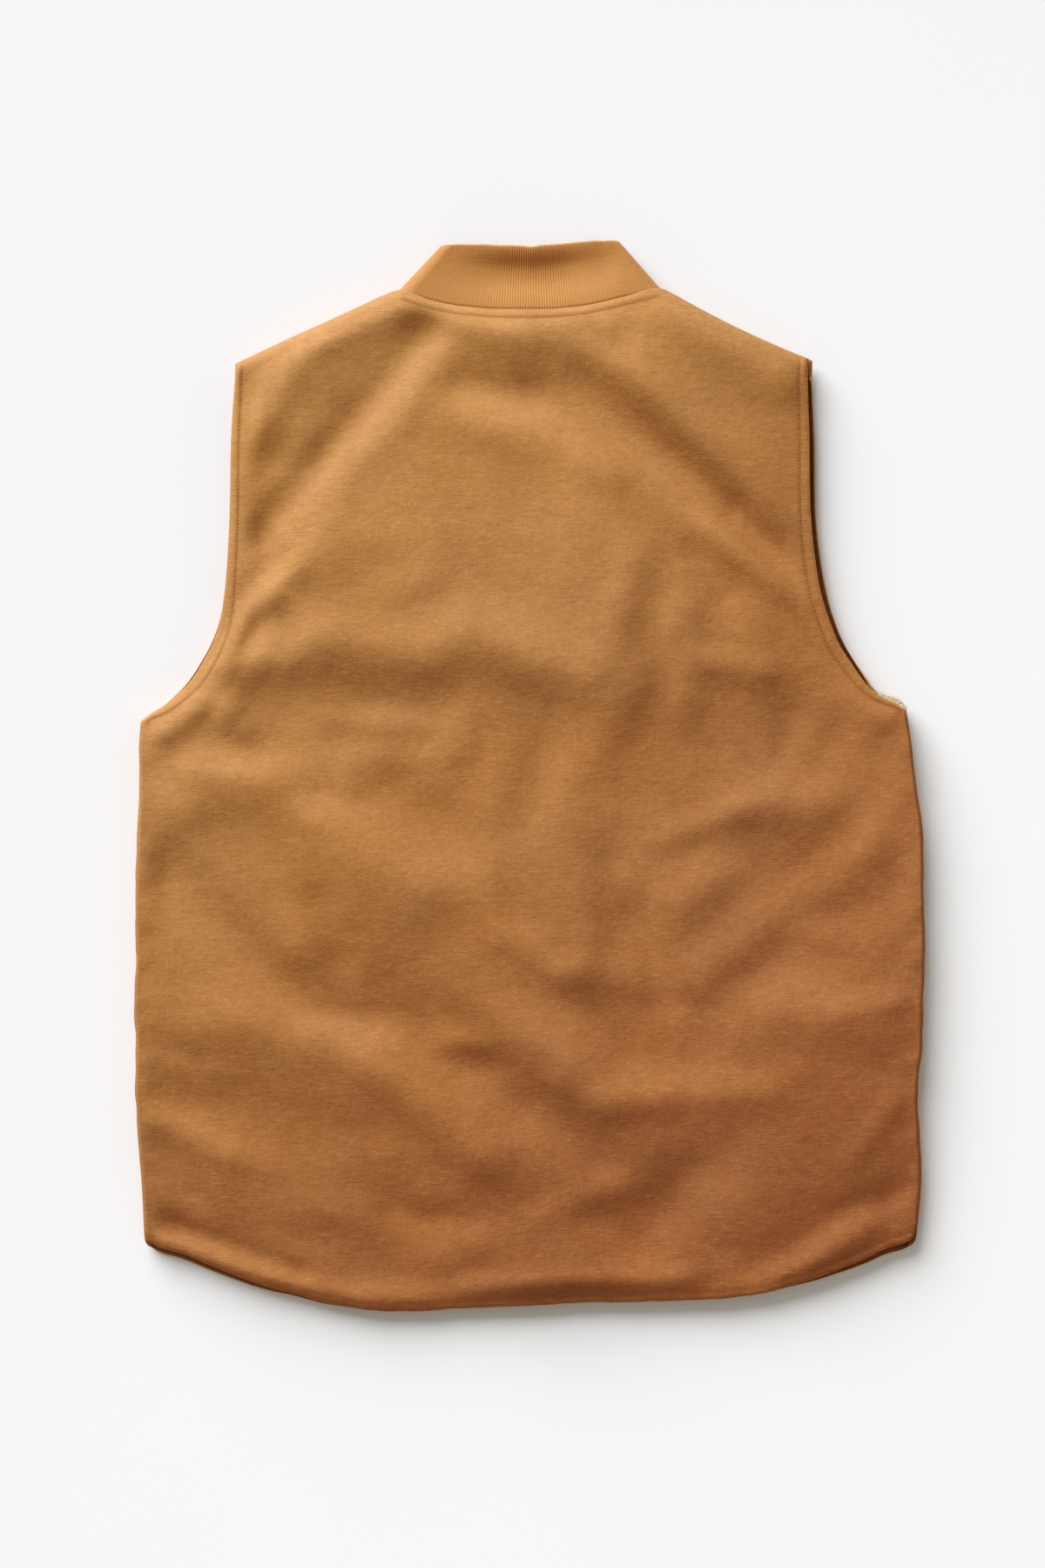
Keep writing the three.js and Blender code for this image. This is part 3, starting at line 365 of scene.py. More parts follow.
def crown(x, y):
    """Top surface of the back panel before its edges roll over."""
    aside = from_side(x, y)
    body = 1 - ease((y - 10) / 80)
    firm = lerp(0.12, 0.62, np.maximum(body, ease((y - 262) / 36)))
    across = firm + (1 - firm) * ease((aside + 6) / 90)
    from_hem = ease((y - hem_line(x)) / 125)
    from_top = 0.62 + 0.38 * ease((top_line(x) - y) / 70)
    quiet = ease(aside / 24) * ease((y - hem_line(x)) / 22) * ease((top_line(x) - y) / 20)
    return EDGE_TOP + (CROWN_TOP - EDGE_TOP) * across * from_hem * from_top + fold_height(x, y) * quiet


# ------------------------------------------------------------------ panel grids
class Lines:
    """Grid lines along one direction: at given insets from both ends, and
    spread between them."""

    def __init__(self, start, parts, end, reach_start, reach_end):
        kind = [0] * len(start) + [1] * len(parts) + [2] * len(end)
        self.kind = np.array(kind)
        self.inset = np.array(list(start) + [1e3] * len(parts) + list(end)[::-1], float)
        self.part = np.array([0.0] * len(start) + list(parts) + [1.0] * len(end))
        self.first, self.last = (start[-1] if len(start) else 0.0), (end[-1] if len(end) else 0.0)
        reach = np.where(self.kind == 0, reach_start, np.where(self.kind == 2, reach_end, 1.0))
        self.cos = np.where(self.kind == 1, 0, np.clip(1 - self.inset / reach, 0, 1))
        self.cos[(self.kind == 0) & (reach_start <= 0)] = 0
        self.cos[(self.kind == 2) & (reach_end <= 0)] = 0
        self.g = 1 - np.sqrt(1 - self.cos ** 2)

    def place(self, length, axis):
        shape = [1, 1]
        shape[axis] = -1
        kind, inset, part = (v.reshape(shape) for v in (self.kind, self.inset, self.part))
        mid = lerp(self.first / length, 1 - self.last / length, part)
        return np.where(kind == 0, inset / length, np.where(kind == 2, 1 - inset / length, mid))


def spread(n, power=1.0):
    return list((np.arange(1, n) / n) ** power)


def coons(low, high, start, end, s, t):
    s_, t_ = s[..., None], t[..., None]
    c00, c10, c01, c11 = low(0.0), low(1.0), high(0.0), high(1.0)
    return ((1 - t_) * low(s) + t_ * high(s) + (1 - s_) * start(t) + s_ * end(t)
            - ((1 - s_) * (1 - t_) * c00 + s_ * (1 - t_) * c10 + (1 - s_) * t_ * c01 + s_ * t_ * c11))


def far(a, b):
    return np.linalg.norm(a - b, axis=-1)


def plan(shape, cols, rows_low, rows_high):
    """Plan positions of the whole grid, and which edges each point is near."""
    parts = []
    low_start, low_end = shape["low_start"], shape["low_end"]
    c0, c1 = low_start(1.0), low_end(1.0)
    middle = lambda s: c0 + (c1 - c0) * np.asarray(s, float)[..., None]
    for up, rows, low, high, a, b in (
            (False, rows_low, shape["hem"], middle, low_start, low_end),
            (True, rows_high, middle, shape["top"], shape["high_start"], shape["high_end"])):
        nr, nc = len(rows.kind), len(cols.kind)
        s = np.broadcast_to(np.where(cols.kind == 0, 0.0, cols.part)[None, :], (nr, nc)).copy()
        t = np.full((nr, nc), 0.5)
        for _ in range(4):
            t = np.clip(rows.place(far(low(s), high(s)), 0), 0, 1)
            s = np.clip(cols.place(far(a(t), b(t)), 1), 0, 1)
        xy = coons(low, high, a, b, s, t)
        parts.append(dict(xy=xy, up=np.full((nr, nc), up),
                          row_cos=np.broadcast_to(rows.cos[:, None], (nr, nc)),
                          row_g=np.broadcast_to(rows.g[:, None], (nr, nc)),
                          row_kind=np.broadcast_to(rows.kind[:, None], (nr, nc))))
    out = {k: np.concatenate([p[k] for p in parts], 0) for k in parts[0]}
    nr = len(out["up"])
    out["col_cos"] = np.broadcast_to(cols.cos[None, :], (nr, len(cols.kind)))
    out["col_g"] = np.broadcast_to(cols.g[None, :], (nr, len(cols.kind)))
    out["col_kind"] = np.broadcast_to(cols.kind[None, :], (nr, len(cols.kind)))
    return out


def opened(x, y, corner, tip):
    a = np.hypot(x - corner[0], y - corner[1])
    b = np.hypot(x - tip[0], y - tip[1])
    return ease(a / LIFT_RUN) * ease(b / ((0.8 if tip[0] < 0 else 0.4) * LIFT_RUN))


def peep(x, y, hand):
    if hand == "left":
        return np.zeros_like(x)
    a = np.hypot(x - UNDERARM["right"][0], y - UNDERARM["right"][1])
    return PEEP * (1 - ease((a - 6) / 14))


def shape_wall(g, height, edges):
    """Rounds the outer and inner surfaces off towards each edge."""
    x, y = g["xy"][..., 0], g["xy"][..., 1]
    zo0, zi0 = height(x, y)
    total, keep = np.zeros_like(x), np.ones_like(x)
    drop_o, drop_i = np.zeros_like(x), np.zeros_like(x)
    px, py = np.zeros_like(x), np.zeros_like(x)
    for edge, gg, cc in edges:
        eo, ei, ex, ey = edge
        total += gg
        keep *= 1 - gg
        drop_o += gg * (eo - zo0)
        drop_i += gg * (ei - zi0)
        px += ex * cc
        py += ey * cc
    w = (1 - keep) / np.maximum(total, 1e-9)
    return zo0 + drop_o * w, zi0 + drop_i * w, x + px, y + py


FOLD_R = (SEAM_HIGH - RIM_LOW) / 2


def neck_turn(x):
    return np.clip((np.abs(x) - (95 - FOLD_R)) / FOLD_R, 0, 1)


NEAR = [0, 0.25, 0.7, 1.3, 2.0, 2.8, 3.6, 4.4, 5.2, 6.0, 6.8, 7.6, 8.4, 9.4, 10.8, 12.6, 15.0]
NEAR_COARSE = [0, 0.35, 0.9, 1.7, 2.7, 4.0, 5.6, 7.6, 9.8, 12.2, 15.0]

# seam lines, as dense polylines in plan
ARM_EDGE = {h: smooth_line(arm_points(h, "back")) for h in ("left", "right")}
ARM_EDGE_FRONT = {h: smooth_line(arm_points(h, "front")) for h in ("left", "right")}
FLANK = {h: np.vstack([smooth_line([hem_end(h, "back"), *[(r[h], r["y"]) for r in SIDE[1:]], UNDERARM[h]]), ARM_EDGE[h]])
         for h in ("left", "right")}
HEM_EDGE = smooth_line([hem_end("left", "back"), *[(r["x"], r["y"] + r["short"]) for r in HEM], hem_end("right", "back")])
HEM_EDGE_FRONT = smooth_line([HEM_CORNER["left"], *[(r["x"], r["y"]) for r in HEM], HEM_CORNER["right"]])
NECK_EDGE = smooth_line([NECK_POINT["left"], *NECK_BACK, NECK_POINT["right"]])
ARM_STITCH = dict(
    left=graph([(40, 3.6), (52, 6.0), (75, 8.4), (110, 8.0), (150, 6.6), (297, 5.4)]),
    right=graph([(47, 3.0), (56, 5.0), (66, 6.6), (100, 8.3), (150, 8.4), (200, 7.8), (301, 7.0)]),
)
NECK_STITCH = 6.2


def seam_relief(x, y, line, at, band, groove, wide, seed, crest=0.5):
    """Padding swelling up beside a stitched edge, the dip of the stitching and
    the small puckers that it pulls up."""
    d, run = nearest(x, y, line)
    dip = np.exp(-0.5 * ((d - at) / wide) ** 2)
    swell = np.exp(-0.5 * ((d - at * crest) / (at * (0.14 + 0.28 * crest))) ** 2)
    beyond = np.exp(-0.5 * ((d - at - 4.5) / 2.6) ** 2)
    pucker = value_noise(run, d * 0.35, 6.5, seed) * np.exp(-0.5 * ((d - at) / 5.0) ** 2)
    z = band * swell - groove * dip + 0.12 * beyond + 0.16 * pucker
    return z, dip, d


def build_back():
    across = 126
    tips = float(far(np.array(TIP["left"]["back"]), np.array(TIP["right"]["back"])))
    first = NEAR[-1] / tips
    at_neck = [lerp(first, 1 - first, 7 / 25), lerp(first, 1 - first, 19 / 25)]
    top_x = lambda s: np.interp(s, [0, at_neck[0], at_neck[1], 1],
                                [TIP["left"]["back"][0], NECK_POINT["left"][0], NECK_POINT["right"][0], TIP["right"]["back"][0]])
    top = lambda s: np.stack([top_x(np.asarray(s, float)), top_line(top_x(np.asarray(s, float)))], -1)
    shape = dict(
        hem=by_length(HEM_EDGE), top=top,
        low_start=side_curve("left", hem_end("left", "back")), low_end=side_curve("right", hem_end("right", "back")),
        high_start=path(arm_points("left", "back")), high_end=path(arm_points("right", "back")))
    cols = Lines(NEAR, spread(across), NEAR, SIDE_ROLL, SIDE_ROLL)
    rows_low = Lines(NEAR, spread(98), [], HEM_ROLL, 0)
    rows_high = Lines([0.0], spread(74, 1.25), NEAR, 0, SHOULDER_ROLL)
    g = plan(shape, cols, rows_low, rows_high)
    x, y = g["xy"][..., 0], g["xy"][..., 1]
    seam = SEAM_Z + SEAM_GAP / 2

    def height(x, y):
        z = crown(x, y)
        return z, z - WALL
    zo0, zi0 = height(x, y)
    free_o, free_i = zo0 - 1.5, zi0 + 0.3
    edges = []
    for hand, sign, kind in (("left", 1, 0), ("right", -1, 2)):
        o = np.where(g["up"], opened(x, y, UNDERARM[hand], TIP[hand]["back"]), 0)
        shut = seam + peep(x, y, hand)
        on = g["col_kind"] == kind
        edges.append(((lerp(shut, free_o, o), lerp(shut, free_i, o), sign * lerp(WALL, LIP_IN, o), 0 * x),
                      g["col_g"] * on, g["col_cos"] * on))
    on = (~g["up"]) & (g["row_kind"] == 0)
    hem_o = zo0 - hem_drop(x)
    edges.append(((hem_o, np.minimum(free_i, hem_o - 0.8), 0 * x, 0 * x + LIP_IN), g["row_g"] * on, g["row_cos"] * on))
    on = g["up"] & (g["row_kind"] == 2)
    neck_x = np.where(x < 0, abs(NECK_POINT["left"][0]), NECK_POINT["right"][0])
    lean = ease((np.abs(x) - neck_x) / 12)
    c = neck_turn(x)
    up = np.sqrt(1 - c * c)
    is_neck = np.abs(x) < neck_x
    eo = np.where(is_neck, np.maximum(seam, lerp(seam, zo0 - 1.6, up)), seam)
    ei = np.where(is_neck, np.maximum(seam, lerp(seam, zi0, up)), seam)
    ex = np.where(is_neck, -np.sign(x) * WALL * 0.8 * c, -np.sign(x) * WALL * lerp(0.8, 0.42, lean))
    ey = np.where(is_neck, -LIP_IN - 1.5 * c, -WALL * lerp(0.5, 0.9, lean))
    edges.append(((eo, ei, ex, ey), g["row_g"] * on, g["row_cos"] * on))
    zo, zi, xi, yi = shape_wall(g, height, edges)
    # distance from the neck edge, where the canvas folds over the collar
    dn, _ = nearest(x, y, NECK_EDGE)
    # stitched edges. The groove mask sets painted shade in the stitch grooves; the pale-edge mask is partly rubbed
    # wear, partly a painted highlight on the rolled edges
    groove = np.zeros_like(x)
    wear_and_highlight = np.zeros_like(x)
    add = np.zeros_like(x)
    for hand, seed in (("left", 3), ("right", 4)):
        roll = dict(left=(0.55, 0.34, 0.8, seed, 0.8), right=(0.22, 0.18, 0.75, seed, 0.5))[hand]
        z, dip, d = seam_relief(x, y, ARM_EDGE[hand], ARM_STITCH[hand](y), *roll)
        fade = np.where(g["up"], 1, np.exp(-0.5 * ((UNDERARM[hand][1] - y) / 3.0) ** 2))
        fade = fade * ease((TIP[hand]["back"][1] + 2 - y) / 6)
        add += z * fade
        groove = np.maximum(groove, dip * fade)
        wear_and_highlight = np.maximum(wear_and_highlight, np.exp(-d / 1.2) * fade)
    d_hem, run = nearest(x, y, HEM_EDGE)
    at = hem_stitch(x)
    dip = np.exp(-0.5 * ((d_hem - at) / 1.0) ** 2)
    add += 0.3 * np.exp(-0.5 * ((d_hem - at * 0.5) / 1.6) ** 2) - 0.10 * dip + 0.12 * np.exp(-0.5 * ((d_hem - at - 5) / 3) ** 2)
    add += 0.3 * value_noise(run, d_hem * 0.3, 8, 9) * np.exp(-0.5 * ((d_hem - at) / 6) ** 2)
    groove = np.maximum(groove, 0.3 * dip)
    wear_and_highlight = np.maximum(wear_and_highlight, np.exp(-d_hem / 1.2))
    z, dip, _ = seam_relief(x, y, NECK_EDGE, NECK_STITCH, 0.4, 0.16, 0.75, 5)
    fade = ease((97 - np.abs(x)) / 8) * ease((y - 300) / 15)
    add += z * fade
    groove = np.maximum(groove, dip * fade)
    # the rolled band beside the neck seam is painted paler: a painted highlight on its crest, with some rubbed wear
    wear_and_highlight = np.maximum(wear_and_highlight, 0.8 * np.exp(-0.5 * ((dn - 2.6) / 1.6) ** 2) * fade)
    # cloth that isn't quite smooth
    aside = from_side(x, y)
    rough = 0.30 * value_noise(x, y, 34, 11) + 0.26 * value_noise(x * 0.8 + y * 0.5, y, 15, 12) + 0.13 * value_noise(x * 0.7, y, 7, 13)
    edge_pucker = 0.55 * value_noise(x * 0.25, y, 9, 14) * np.exp(-((aside - 7) / 8.0) ** 2) * ease((38 - y) / 24) * (~g["up"])
    calm = ease(np.minimum(aside, top_line(x) - y) / 5)
    add += (rough + edge_pucker) * calm
    zo = zo + add
    zi = np.maximum(zi, np.where(g["col_g"] + g["row_g"] > 0.3, zi, WALL + 0.6))
    wobble = (0.55 * value_noise(y, 0 * y, 13, 15) + 0.3 * value_noise(y, 0 * y, 29, 16)) * g["col_cos"]
    wobble = wobble * (~g["up"]) * ease((y - hem_line(x)) / 20) * ease((36 - y) / 10)
    x = x + wobble * np.where(g["col_kind"] == 0, -1, 1)
    x, y = soften_hem(x, y, "back")
    xi, yi = soften_hem(xi, yi, "back")
    outer = np.stack([x, y - CENTRE_Y, zo], -1)
    inner = np.stack([xi, yi - CENTRE_Y, zi], -1)
    nr, nc = x.shape
    top_f, under_f, side_f = wall_faces(nr, nc)
    ob = make_mesh("back_panel_cloth", np.vstack([outer.reshape(-1, 3), inner.reshape(-1, 3)]),
                   [top_f, under_f, side_f])
    zero = np.zeros(nr * nc)
    # painted shade in the stitch grooves and painted paler edges, on the outer face only
    paint(ob, "groove", np.concatenate([groove.ravel(), zero]))
    paint(ob, "wear_and_highlight", np.concatenate([wear_and_highlight.ravel(), zero]))
    # inner cloth shows on the inner side, away from the turned edges
    free_d = np.minimum(np.minimum(nearest(x, y, ARM_EDGE["left"])[0], nearest(x, y, ARM_EDGE["right"])[0]), d_hem)
    deep = (free_d.ravel() > 24) & (dn.ravel() > 20)
    lining = deep[(under_f - nr * nc)].all(1)
    index = np.concatenate([np.zeros(len(top_f), int), lining.astype(int), np.zeros(len(side_f), int)])
    return ob, index, outer


def build_front(hand):
    sign = -1 if hand == "left" else 1
    slit = sign * SLIT
    hem_rows = sorted([r for r in HEM if r["x"] * sign > 12], key=lambda r: abs(r["x"]))
    neck = [(sign * x, y) for x, y in NECK_FRONT]
    neck[-1] = NECK_POINT[hand]
    shoulder = (SHOULDER_LEFT if hand == "left" else SHOULDER_RIGHT)[::-1]
    neck_path, shoulder_path = path(neck), path([NECK_POINT[hand], *shoulder, TIP[hand]["front"]])
    across = 48
    width = float(far(np.array([slit, neck[0][1]]), np.array(TIP[hand]["front"])))
    corner = float(lerp(NEAR_COARSE[-1] / width, 1 - NEAR_COARSE[-1] / width, 28 / across))

    def top(s):
        s = np.asarray(s, float)
        a, b = neck_path(np.clip(s / corner, 0, 1)), shoulder_path(np.clip((s - corner) / (1 - corner), 0, 1))
        return np.where((s <= corner)[..., None], a, b)
    y0 = float(hem_line(slit))
    line = lambda a, b: (lambda t: np.stack([np.full_like(np.asarray(t, float), slit), lerp(a, b, np.asarray(t, float))], -1))
    shape = dict(
        hem=path([(slit, y0), *[(r["x"], r["y"]) for r in hem_rows], hem_end(hand, "front")]), top=top,
        low_start=line(y0, 60.0), low_end=side_curve(hand, hem_end(hand, "front")),
        high_start=line(60.0, NECK_FRONT[0][1]), high_end=path(arm_points(hand, "front")))
    cols = Lines(NEAR_COARSE, spread(across), NEAR_COARSE, 2.0, 6.0)
    rows_low = Lines(NEAR_COARSE, spread(62), [], LIP, 0)
    rows_high = Lines([0.0], spread(48, 1.2), NEAR_COARSE, 0, ROLL)
    g = plan(shape, cols, rows_low, rows_high)
    x, y = g["xy"][..., 0], g["xy"][..., 1]
    seam = SEAM_Z - SEAM_GAP / 2
    height = lambda x, y: (0 * x, 0 * x + WALL)
    zero = 0 * x
    edges = []
    on = g["col_kind"] == 0
    edges.append(((zero + 0.9, zero + WALL - 0.5, zero, zero), g["col_g"] * on, g["col_cos"] * on))
    o = np.where(g["up"], opened(x, y, UNDERARM[hand], TIP[hand]["front"]), 0)
    shut = seam - peep(x, y, hand)
    on = g["col_kind"] == 2
    curl = FRONT_CURL[hand]
    edges.append(((lerp(shut, 1.6 + curl, o), lerp(shut, WALL - 0.5 + curl, o), -sign * lerp(WALL, LIP_IN, o), zero),
                  g["col_g"] * on, g["col_cos"] * on))
    on = (~g["up"]) & (g["row_kind"] == 0)
    edges.append(((zero + 1.6, zero + WALL - 0.5, zero, zero + LIP_IN), g["row_g"] * on, g["row_cos"] * on))
    on = g["up"] & (g["row_kind"] == 2)
    nx = abs(NECK_POINT[hand][0])
    lean = ease((np.abs(x) - nx) / 12)
    c = neck_turn(x)
    down = 1 - np.sqrt(1 - c * c)
    is_neck = np.abs(x) < nx
    eo = np.where(is_neck, lerp(0.6, seam, down), seam)
    ei = np.where(is_neck, np.minimum(seam, lerp(WALL, seam, down)), seam)
    ex = np.where(is_neck, -sign * WALL * 0.8 * c, -sign * WALL * lerp(0.8, 0.42, lean))
    ey = np.where(is_neck, -LIP_IN - 1.5 * c, -WALL * lerp(0.5, 0.9, lean))
    edges.append(((eo, ei, ex, ey), g["row_g"] * on, g["row_cos"] * on))
    zo, zi, xi, yi = shape_wall(g, height, edges)
    # stitched edges on the underside: shallow, so that the panel still lies flat
    groove = np.zeros_like(x)
    lines = [(ARM_EDGE_FRONT[hand], 6.5), (HEM_EDGE_FRONT, 5.5),
             (smooth_line(neck), NECK_STITCH), (np.array([(slit, y0), (slit, NECK_FRONT[0][1])]), 4.0)]
    # the edges are painted paler: partly rubbed wear, partly a painted highlight
    wear_and_highlight = np.zeros_like(x)
    near_edge = np.full_like(x, 1e3)
    for line_, at in lines:
        d, _ = nearest(x, y, line_)
        near_edge = np.minimum(near_edge, d)
        dip = np.exp(-0.5 * ((d - at) / 1.0) ** 2)
        groove = np.maximum(groove, dip)
        wear_and_highlight = np.maximum(wear_and_highlight, np.exp(-d / 1.4))
    zo = zo + 0.5 * groove
    x, y = soften_hem(x, y, "front")
    xi, yi = soften_hem(xi, yi, "front")
    outer = np.stack([x, y - CENTRE_Y, np.maximum(zo, 0.0)], -1)
    inner = np.stack([xi, yi - CENTRE_Y, zi], -1)
    flip = hand == "right"
    nr, nc = x.shape
    top_f, under_f, side_f = wall_faces(nr, nc, flip)
    ob = make_mesh(f"front_panel_{hand}_cloth", np.vstack([outer.reshape(-1, 3), inner.reshape(-1, 3)]),
                   [top_f, under_f, side_f])
    # painted shade in the stitch grooves on the outer face
    paint(ob, "groove", np.concatenate([groove.ravel(), groove.ravel() * 0]))
    paint(ob, "wear_and_highlight", np.concatenate([wear_and_highlight.ravel(), wear_and_highlight.ravel()]))
    deep = near_edge.ravel() > 24
    lining = deep[(under_f - nr * nc)].all(1)
    index = np.concatenate([np.zeros(len(top_f), int), lining.astype(int), np.zeros(len(side_f), int)])
    return ob, index, outer


# ---------------------------------------------------------------------- collar
def build_collar():
    """A doubled rib-knit loop, open at the front, pressed flat. Its ribs are
    real ridges."""
    loops = [
        dict(left=NECK_POINT["left"][0], right=NECK_POINT["right"][0], high=SEAM_HIGH - 0.9, back=neck_back, front=neck_front, scale=95, lift=-1.0),
        dict(left=RIM_BACK[0][0], right=RIM_BACK[-1][0], high=RIM_HIGH, back=rim_back, front=rim_front, scale=64, lift=0),
    ]
    step = 0.30
    w0 = loops[0]
    r0 = (w0["high"] - RIM_LOW) / 2
    lengths = [120.0, math.pi * r0, (w0["right"] - w0["left"]) - 2 * r0, math.pi * r0, 120.0]
    counts = [max(8, int(v / step)) for v in lengths]
    counts[0] = counts[4] = int(120 / 0.34)

    def loop(L):
        r, zc = (L["high"] - RIM_LOW) / 2, (L["high"] + RIM_LOW) / 2

        def front_y(x):
            end = np.where(x < 0, L["left"], L["right"])
            f = np.abs(x / end)
            return L["front"](f * L["scale"]) + (L["back"](end) - L["front"](L["scale"])) * f ** 4
        seg = []
        f = np.arange(counts[0]) / counts[0]
        # even steps along the front curve
        def run_front(end_x, f):
            xs = np.linspace(SLIT, abs(end_x), 400)
            ys = front_y(np.sign(end_x) * xs)
            c = np.concatenate([[0], np.cumsum(np.hypot(np.diff(xs), np.diff(ys)))])
            return np.sign(end_x) * np.interp(f * c[-1], c, xs)
        x = run_front(L["right"] - r, f)
        seg.append((x, zc - r + 0 * x, 0 * x, -1 + 0 * x, front_y(x)))
        b = np.radians(-90 + 180 * np.arange(counts[1]) / counts[1])
        x = L["right"] - r + r * np.cos(b)
        seg.append((x, zc + r * np.sin(b), np.cos(b), np.sin(b), np.where(b < 0, front_y(x), L["back"](x))))
        f = np.arange(counts[2]) / counts[2]
        x = lerp(L["right"] - r, L["left"] + r, f)
        seg.append((x, zc + r + 0 * x, 0 * x, 1 + 0 * x, L["back"](x)))
        b = np.radians(90 + 180 * np.arange(counts[3]) / counts[3])
        x = L["left"] + r + r * np.cos(b)
        seg.append((x, zc + r * np.sin(b), np.cos(b), np.sin(b), np.where(b > math.pi, front_y(x), L["back"](x))))
        f = 1 - np.arange(counts[4] + 1) / counts[4]
        x = run_front(L["left"] + r, f)
        seg.append((x, zc - r + 0 * x, 0 * x, -1 + 0 * x, front_y(x)))
        x, z, nx, nz, y = (np.concatenate(v) for v in zip(*seg))
        return np.stack([x, y + L["lift"], z], -1), np.stack([nx, 0 * nx, nz], -1)
    (p0, n0), (p1, n1) = (loop(L) for L in loops)
    # the rim isn't quite straight
    p1[:, 1] += (0.45 * value_noise(p1[:, 0], p1[:, 2], 17, 22) + 0.2 * value_noise(p1[:, 0], p1[:, 2], 6, 23)
                 - 0.9 * np.exp(-((p1[:, 0] - 1) / 5) ** 2) * (p1[:, 2] > 10))
    centre = counts[0] + counts[1] + counts[2] // 2

    def run(p):
        c = np.concatenate([[0], np.cumsum(np.linalg.norm(np.diff(p, axis=0), axis=1))])
        return c - c[centre]
    s0, s1 = run(p0), run(p1)
    # heights: fine near the rim, where the knit folds over
    h = np.concatenate([np.linspace(0, 0.90, 16), [0.925, 0.945, 0.962, 0.976, 0.986, 0.994, 1.0]])
    tall = np.linalg.norm(p1 - p0, axis=1)
    H = h[:, None]
    mid = p0[None] * (1 - H[..., None]) + p1[None] * H[..., None]
    nrm = n0[None] * (1 - H[..., None]) + n1[None] * H[..., None]
    nrm /= np.linalg.norm(nrm, axis=-1, keepdims=True)
    on_back = np.clip(nrm[..., 2], 0, 1) ** 0.5
    # knit hangs in behind the rim, which curls up a little
    x = mid[..., 0]
    below = (1 - H) * 47                                     # mm below the rim
    trough = ease((below - 3.0) / 14) * (1 - ease((below - 21) / 26))
    sag = 6.2 * np.exp(-np.abs((x - 3) / 45) ** 3) * trough
    sag += 1.0 * np.exp(-((x + 5) / 60) ** 2) * np.exp(-((below - 26) / 12) ** 2)
    sag += 1.0 * np.exp(-((x - 54) / 10) ** 2) * np.exp(-((below - 22) / 14) ** 2)
    curl = 0.9 * np.exp(-((x - 0) / 60) ** 2) * np.exp(-(below / 3.2) ** 2)
    mid = mid.copy()
    mid[..., 2] += (curl - sag) * on_back
    # a gentle wave along the rim and softness
    mid[..., 2] += 0.5 * value_noise(x, below, 26, 21) * on_back * np.minimum(1, H * 4)
    # thickness closes in a round at the rim
    inset_rim = (1 - H) * tall[None]
    rr = KNIT / 2
    prof = np.sqrt(np.clip(1 - np.clip(1 - inset_rim / rr, 0, 1) ** 2, 0.0004, 1))
    q = lerp(s0[None], s1[None], H) * (1 + 0.18 * H)
    phase = q / RIB_PITCH
    rib = 0.42 * (np.abs(np.cos(math.pi * phase)) ** 0.8 - 0.55)
    rib = rib * np.clip(inset_rim / 1.2, 0.25, 1)
    outer = mid + nrm * (rib - (1 - prof) * rr)[..., None]
    inner = mid - nrm * (KNIT - (1 - prof) * rr + 0.8 * rib)[..., None]
    outer[..., 1] -= CENTRE_Y
    inner[..., 1] -= CENTRE_Y
    nr, nc = q.shape
    top_f, under_f, side_f = wall_faces(nr, nc, True)
    ob = make_mesh("collar_knit", np.vstack([outer.reshape(-1, 3), inner.reshape(-1, 3)]), [top_f, under_f, side_f])
    # the depth of each rib valley, painted as shade in the knit's hollows
    rib_valley_shade = 1 - np.abs(np.cos(math.pi * phase))
    paint(ob, "rib", np.concatenate([rib_valley_shade.ravel(), rib_valley_shade.ravel()]))
    paint(ob, "course", np.concatenate([(H * tall[None]).ravel(), (H * tall[None]).ravel()]))
    # paler towards the folded rim: partly rubbed wear, partly a painted highlight on the rim
    wear_and_highlight = np.exp(-inset_rim / 1.6)
    paint(ob, "wear_and_highlight", np.concatenate([wear_and_highlight.ravel(), wear_and_highlight.ravel()]))
    return ob


# ------------------------------------------------------------ stitches and bits
def bead(length, radius, rings=5, sides=6):
    """A stitch: a short thread that dips into the cloth at both ends."""
    t = np.linspace(-1, 1, rings)
    a = np.arange(sides) / sides * 2 * math.pi
    r = radius * np.sqrt(np.clip(1 - np.abs(t) ** 3, 0.05, 1))
    v = np.stack([np.broadcast_to((t * length / 2)[:, None], (rings, sides)),
                  r[:, None] * np.cos(a)[None], r[:, None] * np.sin(a)[None] * 0.8 - (np.abs(t) ** 2.5 * radius * 0.8)[:, None]], -1)
    v = v.reshape(-1, 3)
    f = []
    for j in range(rings - 1):
        for k in range(sides):
            f.append((j * sides + k, j * sides + (k + 1) % sides, (j + 1) * sides + (k + 1) % sides, (j + 1) * sides + k))
    caps = [tuple(range(sides))[::-1], tuple((rings - 1) * sides + k for k in range(sides))]
    tri = []
    for c in caps:
        for k in range(1, sides - 1):
            tri.append((c[0], c[k], c[k + 1]))
    return v, np.array(f)[:, ::-1], np.array(tri)[:, ::-1]


